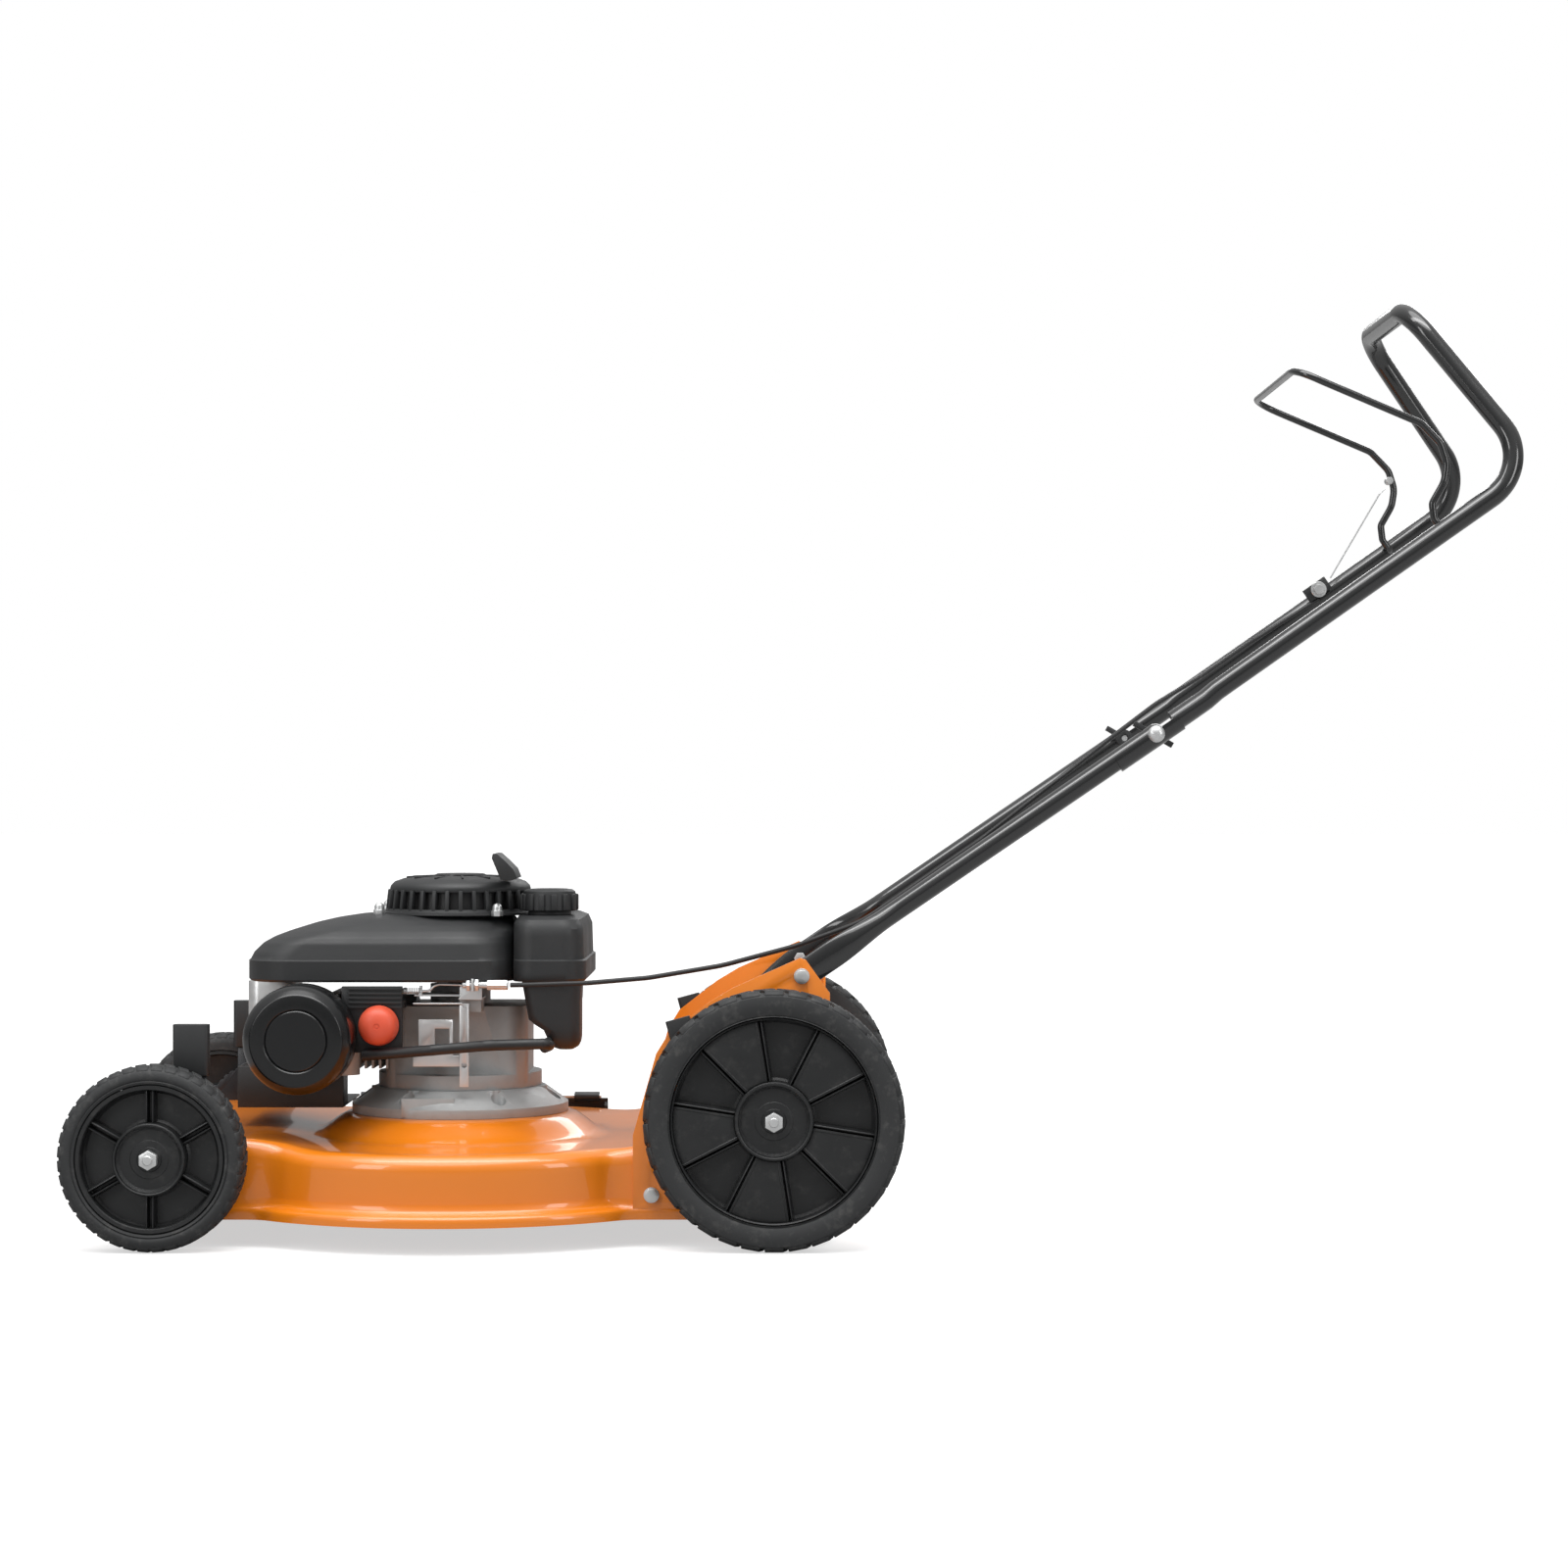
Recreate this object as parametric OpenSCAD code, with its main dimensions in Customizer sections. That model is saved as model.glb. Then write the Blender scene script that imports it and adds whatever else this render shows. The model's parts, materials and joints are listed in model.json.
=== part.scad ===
// Walk-behind rotary lawn mower: pressed-steel side-discharge deck, four wheels on
// height levers, vertical-shaft engine, folding tube handle with engine-stop bail.
// +X runs from the front of the deck to the handle, +Y to the discharge side, +Z up.
// The origin is on the ground under the middle of the bounding box.

/* [Node] */

/* [Deck] */
// Radius of the round blade housing wall
deck_r = 270; // [240:1:300]
// Radius of the rolled lip round the housing
lip_r = 284; // [250:1:320]
// Height of the deck's lower edge above the ground
rim_z = 29.5; // [20:0.5:90]
// Height of the low ring round the engine seat
ring_z = 105; // [90:1:140]
// Height of the engine seat
seat_z = 129; // [110:1:160]
// Sheet thickness of the deck
sheet = 2.2; // [1.5:0.1:4]
// Half width of the deck between the wheels
flange_y = 201; // [180:1:220]
// Distance of the crankshaft behind the origin
crank_x = -379; // [-420:1:-340]

/* [Wheels] */
// Front wheel diameter
front_d = 200; // [150:5:220]
// Rear wheel diameter
rear_d = 280; // [200:5:320]
// Front wheel centre along X
front_x = -685; // [-720:1:-640]
// Rear wheel centre along X
rear_x = -23; // [-60:1:20]
// Inner face of a wheel from the middle plane
wheel_in = 216; // [205:1:240]
// Width of a tyre
tyre_w = 46; // [35:1:60]

/* [Handle] */
// Outside diameter of the handle tube
tube_d = 22.2; // [19:0.1:28]
// Wall thickness of the handle tube
tube_t = 1.5; // [1:0.1:2.5]
// Distance of a handle tube from the middle plane
handle_y = 182; // [150:1:210]
// Lower handle bolt at the bracket, X and Z
bolt_xz = [6.7, 291.4];
// Fold bolt, X and Z
fold_xz = [389, 552];
// Theoretical corner of the upper bend, X and Z
bend_xz = [801.2, 842];
// Crossbar, X and Z
bar_xz = [669.4, 1019];
bar_y = 129;             // half length of the crossbar, corner to corner

/* [Engine] */
// Crankshaft diameter at the blade
shaft_d = 22.2; // [20:0.1:26]
// Cylinder bore of the engine
bore_d = 60; // [50:1:70]
// Length of the blade
blade_l = 508; // [400:1:530]

/* [Hidden] */
$fn = 64;
lap = 0.5;              // how far a straight length runs into a bend
wheel_out = wheel_in + tyre_w;
arm_y = 206;            // inner face of a height lever plate
arm_t = 3;
axle_r = 5;
front_pivot = [-630, 88];
rear_pivot = [-85, 118];
head_x = crank_x - 148; // outer face of the cylinder head
cyl_z = 222;            // height of the cylinder's centre line
sump_z = seat_z;

// ---- small vector helpers ----
function unit(v) = v / norm(v);
function at(p, y) = [p[0], y, p[1]];
function polar(r, a) = [r * cos(a), r * sin(a)];

// Cylinder along Y from y0 to y1 round the point p = [x, z]
module ycyl(p, y0, y1, r) translate([p[0], y0, p[1]]) rotate([-90, 0, 0]) cylinder(r = r, h = y1 - y0);
// Tube or rod between two points
module rod(a, b, r) {
    d = b - a;
    translate(a) rotate([0, acos(d[2] / norm(d)), atan2(d[1], d[0])]) cylinder(r = r, h = norm(d));
}
// Rod through a list of points, rounded by the radius given for each inner point
module bent(p, br, r) {
    n = len(p);
    // straight length taken up by the bend at point i
    function cut(i) = i == 0 || i == n - 1 ? 0 : let (u = unit(p[i] - p[i - 1]), v = unit(p[i + 1] - p[i])) br[i - 1] * tan(acos(min(1, u * v)) / 2);
    // straight lengths reach a little way into the bends, which are two hundredths thicker
    for (i = [0 : n - 2]) {
        d = unit(p[i + 1] - p[i]);
        rod(p[i] + d * (cut(i) - (i > 0 ? lap : 0)), p[i + 1] - d * (cut(i + 1) - (i < n - 2 ? lap : 0)), r);
    }
    for (i = [1 : n - 2]) {
        u = unit(p[i] - p[i - 1]);
        v = unit(p[i + 1] - p[i]);
        a = acos(u * v);
        c = p[i] + unit(v - u) * br[i - 1] / cos(a / 2);
        x = unit(p[i] - u * cut(i) - c);
        z = unit(cross(u, v));
        multmatrix([[x[0], u[0], z[0], c[0]], [x[1], u[1], z[1], c[1]], [x[2], u[2], z[2], c[2]], [0, 0, 0, 1]])
            rotate_extrude(angle = a) translate([br[i - 1], 0]) circle(r = r * 1.022, $fn = 32);
    }
}
// Plate in the XZ plane from y0, with thickness t, drawn as a polygon of [x, z]
module xzplate(pts, y0, t) translate([0, y0 + t, 0]) rotate([90, 0, 0]) linear_extrude(t) polygon(pts);
// Rounded rectangle in plan between x0 and x1
module plan_rect(x0, x1, hw, r) {
    translate([x0 + r, -hw]) square([x1 - x0 - 2 * r, 2 * hw]);
    translate([x0, -hw + r]) square([x1 - x0, 2 * hw - 2 * r]);
    for (x = [x0 + r, x1 - r], y = [-hw + r, hw - r]) translate([x, y]) circle(r = r);
}
// Rounded rectangle centred on the origin
module round_rect(w, h, r) {
    square([w - 2 * r, h], center = true);
    square([w, h - 2 * r], center = true);
    for (x = [-1, 1], y = [-1, 1]) translate([x * (w / 2 - r), y * (h / 2 - r)]) circle(r = r);
}
// Mirrors a piece to the discharge side when s is 1
module side(s) if (s > 0) mirror([0, 1, 0]) children(); else children();

// ---- deck ----
module deck_volume(t, z0) {
    top = seat_z - t;
    // round housing with the cone that carries the engine
    translate([crank_x, 0, 0]) rotate_extrude() polygon([
        [0, z0], [deck_r - t, z0], [deck_r - t, 88], [deck_r - t - 14, ring_z - t],
        [165, ring_z - t], [124 - t, top], [0, top]]);
    // front and rear platforms between the wheels
    translate([0, 0, z0]) linear_extrude(121 - t - z0) plan_rect(-738 + t, -560, flange_y - t, 18);
    translate([0, 0, z0]) linear_extrude(102 - t - z0) plan_rect(-600, -150, flange_y - t, 18);
    translate([0, 0, z0]) linear_extrude(121 - t - z0) plan_rect(-190, 34 - t, flange_y - t, 18);
    // raised discharge channel
    translate([crank_x - 150 + t, 60, z0]) cube([300 - 2 * t, 192 - t - 60, 116 - t - z0]);
}
module deck_shell() color("#e6852f") difference() {
    union() {
        deck_volume(0, rim_z);
        // rolled lip
        translate([crank_x, 0, rim_z]) cylinder(r = lip_r, h = 9);
        translate([0, 0, rim_z]) linear_extrude(9) plan_rect(-750, 42, flange_y + 3, 20);
    }
    translate([0, 0, -1]) deck_volume(sheet, rim_z - 2);
    translate([crank_x, 0, 0]) cylinder(r = 62, h = 200);
    // discharge opening in the far side
    translate([crank_x - 146, 150, 0]) cube([292, 160, 110]);
    // beyond the flat chute face the round wall is cut away
    translate([crank_x - 156, 252, 0]) cube([312, 60, 200]);
    // holes for the bracket bolts
    for (s = [-1, 1]) {
        ycyl([-155, 56], s > 0 ? 190 : -212, s > 0 ? 212 : -190, 4.2);
        ycyl([-150, 96], s > 0 ? 190 : -212, s > 0 ? 212 : -190, 4.2);
        ycyl(front_pivot, s > 0 ? 190 : -212, s > 0 ? 212 : -190, 5.2);
        ycyl(rear_pivot, s > 0 ? 190 : -212, s > 0 ? 212 : -190, 5.2);
        // room for the rear pivot's nut
        ycyl(rear_pivot, s > 0 ? 186 : -198.4, s > 0 ? 198.4 : -186, 9.8);
    }
}
bracket_pts = [[-175, 41], [37, 41], [37, 273], [11, 309], [5, 311], [-67, 279], [-92, 264], [-137, 229], [-150, 208], [-175, 120]];
module rear_bracket(s) color("#e6852f") side(s) difference() {
    union() {
        xzplate(bracket_pts, -flange_y - 3, 2.8);
        // return flange on the upper edge
        translate([0, -flange_y - 3, 0]) xzplate([[37, 100], [37, 273], [34.5, 273], [34.5, 100]], 0, 15);
    }
    ycyl([-155, 56], -210, -190, 4.2);
    ycyl([-150, 96], -210, -190, 4.2);
    ycyl(bolt_xz, -210, -190, 4.2);
    ycyl(rear_pivot, -210, -190, 5.2);
}
module rear_bracket_left() rear_bracket(-1);
module rear_bracket_right() rear_bracket(1);
// Upright notched plates that index the front height levers
module index_plate() {
    c = [-652, 120];
    color("#1d1d1d") difference() {
        union() {
            xzplate([[c[0] - 42, 122], [c[0] + 44, 122], [c[0] + 40, 140], [c[0] - 38, 140]], -196, 5);
            ycyl(c + [2, 2], -196, -191, 40);
        }
        translate([-800, -250, 0]) cube([300, 300, 121.2]);
        for (i = [-4 : 4]) ycyl(c + [2, 2] + polar(41, 90 + i * 12), -197, -190, 2.6);
    }
}
module index_plates() {
    index_plate();
    mirror([0, 1, 0]) index_plate();
}
module side_door() color("#1c1c1c") {
    x0 = crank_x - 154;
    difference() {
        union() {
            // sloping flap outside the discharge opening
            translate([x0, 0, 0]) rotate([90, 0, 90]) linear_extrude(308) polygon([[256, 120], [260, 120], [284, 44], [284, 36], [280.4, 36], [280.4, 43]]);
            translate([x0, 0, 0]) rotate([90, 0, 90]) linear_extrude(4) polygon([[255, 110], [260, 118], [284, 44], [284, 36], [262, 36]]);
            translate([x0 + 304, 0, 0]) rotate([90, 0, 90]) linear_extrude(4) polygon([[255, 110], [260, 118], [284, 44], [284, 36], [262, 36]]);
            // knuckles round the hinge rod
            for (x = [x0 + 10, crank_x - 15, x0 + 268]) translate([x, 258, 121]) rotate([0, 90, 0]) cylinder(r = 5.5, h = 30);
        }
        translate([x0 - 1, 258, 121]) rotate([0, 90, 0]) cylinder(r = 3.06, h = 400);
        // slots for the two lugs
        for (x = [crank_x - 96, crank_x + 70]) translate([x - 1, 250, 106]) cube([5, 20, 30]);
    }
}
module door_hinge() color("#b9bcbf") {
    translate([crank_x - 146, 258, 121]) rotate([0, 90, 0]) cylinder(r = 3, h = 292);
    // two lugs that carry the rod
    for (x = [crank_x - 96, crank_x + 70]) {
        translate([x, 0, 0]) rotate([90, 0, 90]) linear_extrude(3) polygon([[238, 116.2], [254, 116.2], [261.5, 118], [262, 124], [256, 125.5], [238, 119]]);
        translate([x - 12, 236, 116.2]) cube([27, 14, 2.4]);
    }
}
// Hexagon head, shank and nut along Y: p = [x, z], head on the outer side
module hex_bolt(p, y_head, y_end, r, s) side(s) {
    translate([p[0], y_head, p[1]]) rotate([90, 0, 0]) cylinder(r = r * 1.85, h = r * 1.3, $fn = 6);
    ycyl(p, y_head - 0.01, y_head + 1.4, r * 2.1);
    ycyl(p, y_head + 1.2, y_end, r);
    translate([p[0], y_end - r * 1.4, p[1]]) rotate([-90, 0, 0]) cylinder(r = r * 1.8, h = r * 1.4, $fn = 6);
}
module frame_bolts() color("#c4c7ca") for (s = [-1, 1]) {
    hex_bolt([-155, 56], -205.5, -190, 4, s);
    hex_bolt([-150, 96], -205.5, -190, 4, s);
    hex_bolt(bolt_xz, -205.6, -180, 4, s);
}

// ---- wheels ----
// Tyre: p is the wheel centre, r the outer radius, rb the radius of its seat on the rim
module tyre(p, r, rb, lugs) color("#2b2b2b") translate([p[0], -wheel_out, p[1]]) rotate([-90, 0, 0]) difference() {
    rotate_extrude() polygon([[rb, 0], [rb + 4, 0], [r - 12, 0], [r - 4, 3], [r - 1.2, 7], [r, 12],
        [r, tyre_w - 12], [r - 1.2, tyre_w - 7], [r - 4, tyre_w - 3], [r - 12, tyre_w], [rb, tyre_w]]);
}
// Rim: recessed disc with a hub and spokes
module rim(p, rb, hub, n, a0, f) color("#1f1f1f") translate([p[0], -wheel_out, p[1]]) rotate([-90, 0, 0]) difference() {
    union() {
        // outer ring
        rotate_extrude() polygon([[rb - 4.5, 1.5], [rb - 0.05, 1.5], [rb - 0.05, tyre_w - 1.5], [rb - 4.5, tyre_w - 1.5]]);
        // web
        translate([0, 0, 19]) cylinder(r = rb - 4, h = 3.5);
        // hub
        translate([0, 0, f]) rotate_extrude() polygon([[0, 3], [hub * 0.4, 3], [hub * 0.45, 5], [hub - 2.5, 5], [hub - 2.5, 0], [hub, 0], [hub, tyre_w - 2 * f], [0, tyre_w - 2 * f]]);
        for (i = [0 : n - 1]) rotate([0, 0, a0 + i * 360 / n]) translate([hub - 2, -1.6, 4]) cube([rb - hub - 1, 3.2, tyre_w - 9]);
    }
    translate([0, 0, -5]) cylinder(r = axle_r + 0.06, h = tyre_w + 20);
}
front_p = [front_x, front_d / 2];
rear_p = [rear_x, rear_d / 2];
front_rb = 79;
rear_rb = 110;
module front_tyre() tyre(front_p, front_d / 2, front_rb, 40);
module rear_tyre() tyre(rear_p, rear_d / 2, rear_rb, 30);
module front_rim() rim(front_p, front_rb, 38.5, 6, 30, 3);
module rear_rim() rim(rear_p, rear_rb, 42, 10, 9, 3);
module tyre_fl() front_tyre();
module tyre_fr() side(1) front_tyre();
module tyre_rl() rear_tyre();
module tyre_rr() side(1) rear_tyre();
module rim_fl() front_rim();
module rim_fr() side(1) front_rim();
module rim_rl() rear_rim();
module rim_rr() side(1) rear_rim();

// Height lever: spring-steel arm with the axle bolt fixed in it
module front_lever() color("#232323") difference() {
    union() {
        xzplate([[-700, 86], [-672, 86], [-640, 76], [-618, 76], [-616, 100], [-632, 118], [-632, 190], [-664, 190], [-664, 124], [-696, 116]], -arm_y - arm_t, arm_t);
        ycyl(front_pivot, -arm_y - arm_t, -arm_y + 4, 9);
        ycyl(front_pivot, -arm_y, -190, 5);
        ycyl(front_pivot, -197, -190, 9);
        // axle bolt with its nut on the wheel's face
        ycyl(front_p, -wheel_out - 6, -arm_y, axle_r);
        ycyl(front_p, -wheel_in + 0.8, -arm_y, 11);
        translate(at(front_p, -wheel_out + 1.2)) rotate([90, 30, 0]) cylinder(r = 10.6, h = 9, $fn = 6);
    }
}
module rear_lever() color("#232323") difference() {
    union() {
        xzplate([[-30, 126], [-14, 130], [-14, 150], [-34, 154], [-70, 140], [-88, 140], [-107.4, 212.3], [-126.7, 207.1], [-104, 118], [-92, 104], [-76, 106]], -arm_y - arm_t, arm_t);
        ycyl(rear_pivot, -arm_y, -190, 5);
        ycyl(rear_pivot, -197, -190, 9);
        ycyl(rear_p, -wheel_out - 6, -arm_y, axle_r);
        ycyl(rear_p, -wheel_in + 0.8, -arm_y, 11);
        translate(at(rear_p, -wheel_out + 1.2)) rotate([90, 30, 0]) cylinder(r = 10.6, h = 9, $fn = 6);
    }
}
module front_grip() color("#202020") translate([-649, -arm_y - arm_t / 2, 0]) difference() {
    translate([0, 0, 185]) linear_extrude(55) round_rect(39, 15, 5);
    translate([0, 0, 184]) linear_extrude(6.5) square([35, arm_t + 0.4], center = true);
}
module rear_grip() color("#202020") translate([-117.2, -arm_y - arm_t / 2 - 1.4, 210.2]) rotate([0, -15, 0]) difference() {
    translate([0, 0, -6]) linear_extrude(43) round_rect(27, 9, 3.5);
    translate([0, 1.4, -20]) linear_extrude(20.5) square([24, arm_t + 0.4], center = true);
}
module lever_fl() front_lever();
module lever_fr() side(1) front_lever();
module lever_rl() rear_lever();
module lever_rr() side(1) rear_lever();
module grip_fl() front_grip();
module grip_fr() side(1) front_grip();
module grip_rl() rear_grip();
module grip_rr() side(1) rear_grip();

// ---- engine ----
module on_crank() translate([crank_x, 0, 0]) children();
module sump() color("#a9acae") on_crank() difference() {
    union() {
        translate([0, 0, sump_z]) rotate_extrude() polygon([[22, 0], [122, 0], [122, 10], [97, 28], [94, 29], [22, 29]]);
        translate([0, 0, sump_z - 30]) cylinder(r = 40, h = 31);
        // bolt columns and the boss on the near side
        for (a = [-62, -118, -10, -170, 45, 135, 90]) translate([polar(92, a)[0], polar(92, a)[1], sump_z + 8]) cylinder(r = 8.5, h = 21);
        translate([-55, -112, sump_z + 2]) cube([58, 24, 20]);
        translate([52, 79, sump_z + 8]) cylinder(r = 11.5, h = 21);
    }
    // spot faces for the flange bolts
    for (a = [-62, -118, -10, -170, 45, 135]) translate([polar(108, a)[0], polar(108, a)[1], sump_z + 4.58]) cylinder(r = 8.4, h = 40);
    translate([0, 0, 90]) cylinder(r = shaft_d / 2 + 0.06, h = 100);
    translate([0, 0, sump_z + 6]) cylinder(r = 72, h = 24);
    // drain and filler hole for the dipstick on the far side
    translate([52, 79, sump_z + 6.5]) cylinder(r = 8.06, h = 40);
}
module engine_block() color("#b3b6b8") difference() {
    union() {
        on_crank() translate([0, 0, sump_z + 29.2]) cylinder(r = 92, h = 16);
        on_crank() translate([0, 0, sump_z + 29.2]) linear_extrude(92) round_rect(160, 132, 26);
        on_crank() translate([0, 0, sump_z + 121]) cylinder(r = 34, h = 22);
        // finned cylinder and head pointing forward
        translate([head_x, 0, cyl_z]) rotate([0, 90, 0]) cylinder(r = 38, h = 100);
        for (i = [0 : 9]) translate([head_x + 6 + i * 8, -58, cyl_z - 42]) cube([2.6, 116, 84]);
        translate([head_x - 20, -46, cyl_z - 36]) cube([20.1, 92, 72]);
        // boss that carries the brake tab
        translate([crank_x + 8, -100, 246]) cube([24, 38, 14]);
        on_crank() translate([52, 79, 158.2]) cylinder(r = 11.5, h = 16.2);
    }
    on_crank() translate([0, 0, 100]) cylinder(r = 15.06, h = 300);
    on_crank() translate([0, 0, sump_z + 22]) cylinder(r = 60, h = 85);
    translate([head_x + 12, 0, cyl_z]) rotate([0, 90, 0]) cylinder(r = bore_d / 2, h = 130);
    translate([head_x - 21, 0, cyl_z]) rotate([0, 90, 0]) cylinder(r = 7.06, h = 40);
    on_crank() translate([52, 79, 120]) cylinder(r = 8.06, h = 56);
}
module piston() color("#c8cacc") translate([head_x + 18, 0, cyl_z]) rotate([0, 90, 0]) difference() {
    rotate_extrude() polygon([[0, 0], [29.94, 0], [29.94, 5], [28.6, 5], [28.6, 7], [29.94, 7], [29.94, 38], [25, 38], [25, 9], [0, 9]]);
    translate([0, -40, 22]) rotate([-90, 0, 0]) cylinder(r = 7, h = 80);
}
module spark_plug() color("#d8d8d4") translate([head_x - 56, 0, cyl_z]) rotate([0, 90, 0]) {
    cylinder(r = 4, h = 8);
    translate([0, 0, 6]) cylinder(r = 6, h = 22);
    translate([0, 0, 26]) cylinder(r = 10.5, h = 9.7, $fn = 6);
    translate([0, 0, 35]) cylinder(r = 7, h = 30);
}
module muffler() color("#c9cccd") {
    difference() {
        translate([-600, 78, 196]) linear_extrude(76) round_rect(56, 68, 14);
        translate([-600, 78, 199]) linear_extrude(70) round_rect(52, 64, 12);
        for (i = [-2 : 2], j = [0 : 3]) translate([-640, 78 + i * 9, 216 + j * 11]) rotate([0, 90, 0]) cylinder(r = 2.4, h = 20);
    }
    translate([-572, 70, 226]) rotate([0, 90, 0]) cylinder(r = 9, h = 19.8);
}
module air_guide() color("#232323") {
    translate([-622, -62, 137]) cube([118, 2.4, 46]);
    translate([-622, -62, 137]) cube([2.4, 150, 46]);
    translate([-506.4, -62, 137]) cube([2.4, 40, 42]);
    translate([-622, -62, 137]) cube([118, 150, 2.4]);
}
module carburetor() color("#a2a5a7") {
    translate([-498, -108, cyl_z]) rotate([-90, 0, 0]) cylinder(r = 15, h = 49.5);
    translate([-515, -104, cyl_z - 16]) cube([34, 34, 34]);
    translate([-498, -87, cyl_z - 46]) cylinder(r = 15.5, h = 32);
    // filter base plate
    translate([-540, -128, 220]) rotate([-90, 0, 0]) cylinder(r = 56, h = 6);
    translate([-533, -123, 218]) rotate([-90, 0, 0]) cylinder(r = 22, h = 30);
}
module filter_cover() color("#161616") translate([-540, -190, 220]) rotate([-90, 0, 0]) difference() {
    rotate_extrude() polygon([[0, 0], [32, 0], [33.2, 1.2], [34.6, 1.2], [36, 0], [50, 0], [56, 5], [59.5, 14], [59.5, 61], [0, 61]]);
    rotate_extrude() polygon([[0, 3], [48, 3], [53, 7.5], [56.5, 15], [56.5, 70], [0, 70]]);
}
module primer_panel() color("#262626") {
    difference() {
        union() {
            translate([-498, -126, 203]) cube([66, 10, 72.5]);
            for (i = [0 : 4]) translate([-490, -128, 252 + i * 5]) cube([58, 2.1, 2]);
        }
        // round gap for the air filter
        ycyl([-540, 220], -135, -110, 57);
        translate([-457, -127, 233]) rotate([-90, 0, 0]) cylinder(r = 16, h = 12);
        translate([-457, -131, 233]) rotate([-90, 0, 0]) cylinder(r = 23, h = 5.02);
    }
    translate([-484, -117, 250]) cube([52, 34, 8]);
}
module primer_bulb() color("#d9593f") translate([-457, -150, 233]) rotate([-90, 0, 0]) difference() {
    union() {
        rotate_extrude() polygon([[0, 0], [10, 0.6], [16, 3], [20, 7], [22, 12], [22, 21.5], [0, 21.5]]);
        translate([0, 0, 20]) cylinder(r = 15.8, h = 8);
    }
    translate([0, 0, 4]) cylinder(r = 12, h = 30);
}
// Side outline of the hood: it slopes down to the front
module hood_side(t, hw) translate([0, hw, 0]) rotate([90, 0, 0]) linear_extrude(2 * hw)
    polygon([[-603 + t, 300], [-590 + t, 322 - t], [-566, 332 - t], [-525, 345 - t], [-484, 351 - t], [-316 - t, 351 - t], [-316 - t, 300]]);
module blower_shroud() color("#2a2a2a") difference() {
    union() {
        // skirt, rounded in plan
        translate([0, 0, 280]) linear_extrude(24) plan_rect(-607, -312, 125, 52);
        hood_side(0, 104);
    }
    translate([0, 0, 270]) linear_extrude(31) plan_rect(-603.5, -315.5, 121.5, 48);
    hood_side(3, 101);
    on_crank() translate([0, 0, 300]) cylinder(r = 70, h = 80);
    // notch for the brake cable's end
    translate([-372, -140, 270]) cube([66, 31, 15]);
}
module recoil_housing() color("#1b1b1b") on_crank() difference() {
    union() {
        translate([0, 0, 351.2]) rotate_extrude() polygon([[66, 0], [84, 0], [80, 30], [72, 39], [40, 43], [0, 44.5], [0, 42], [40, 40.5], [70, 37], [77, 29], [80, 3], [66, 3]]);
        // hub that carries the rope pulley
        translate([0, 0, 340]) cylinder(r = 8, h = 54);
        for (i = [0 : 35]) rotate([0, 0, i * 10]) translate([78, -1.4, 352.2]) cube([5, 2.8, 28]);
    }
    for (i = [0 : 35]) rotate([0, 0, i * 10 + 5]) translate([74, -4, 356]) cube([14, 8, 14]);
    // rope outlet with its eyelet
    rotate([0, 0, -50]) translate([72, -9, 366]) cube([16, 18, 13]);
}
module acorn(p) translate(p) {
    cylinder(r = 6.6, h = 6, $fn = 6);
    translate([0, 0, 5]) cylinder(r = 5.4, h = 4);
    translate([0, 0, 9]) sphere(r = 5.4, $fn = 32);
}
module engine_fasteners() color("#c9cccf") {
    for (p = [[-87, -45], [48, -80], [48, 80], [-87, 45]]) acorn([crank_x + p[0], p[1], 351.2]);
    for (a = [-62, -118, -10, -170, 45, 135]) on_crank() translate([polar(108, a)[0], polar(108, a)[1], 133.6]) {
        cylinder(r = 7, h = 8, $fn = 6);
    }
}
module fuel_tank() color("#262626") difference() {
    union() {
        translate([0, 0, 280]) linear_extrude(24) plan_rect(-311.6, -231, 118, 22);
        translate([0, 0, 303.9]) linear_extrude(47) plan_rect(-311.6, -234, 114, 22);
        translate([-270, -82, 203]) linear_extrude(80) round_rect(64, 64, 14);
        // filler neck
        translate([-274, -60, 350]) cylinder(r = 24, h = 12);
        translate([-276, -118, 208]) rotate([-90, 0, 0]) cylinder(r = 4, h = 12);
    }
    translate([0, 0, 283]) linear_extrude(65) plan_rect(-308.6, -237, 111, 20);
    translate([-270, -82, 206]) linear_extrude(80) round_rect(58, 58, 12);
    translate([-274, -60, 340]) cylinder(r = 20, h = 40);
}
module fuel_cap() color("#1f1f1f") translate([-274, -60, 352.6]) difference() {
    union() {
        cylinder(r = 29.5, h = 26);
        translate([0, 0, 26]) cylinder(r1 = 29.5, r2 = 26, h = 2.4);
        for (i = [0 : 11]) rotate([0, 0, i * 30]) translate([28, 0, 0]) cylinder(r = 3, h = 22);
    }
    translate([0, 0, -1]) cylinder(r = 24.1, h = 22);
}
module fuel_hose() color("#151515") difference() {
    bent([[-474, -133.2, 200.5], [-397, -142, 207], [-335, -146, 212.5], [-264, -138, 214], [-276, -118.6, 208]], [60, 60, 9], 6);
}
module dipstick() color("#1d1d1d") on_crank() translate([52, 79, 0]) {
    translate([0, 0, 174.6]) cylinder(r = 12.4, h = 10);
    translate([0, 0, 184.6]) difference() {
        cylinder(r = 10, h = 7);
        translate([-14, -14, 1]) cube([28, 10.5, 8]);
        translate([-14, 3.5, 1]) cube([28, 10.5, 8]);
    }
    translate([0, 0, 142]) cylinder(r = 8, h = 33);
    translate([0, 0, 136.5]) cylinder(r = 2.5, h = 20);
}
module governor_bracket() color("#b7babd") {
    difference() {
        translate([-416, -104, 196]) cube([38, 2, 42]);
        translate([-398, -106, 208]) cube([16, 6, 20]);
        ycyl([-408, 206], -106, -98, 3);
    }
    translate([-422, -104, 186]) cube([62, 2, 12]);
    translate([-400, -103, 186]) cube([12, 36.95, 2.2]);
}
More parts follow.
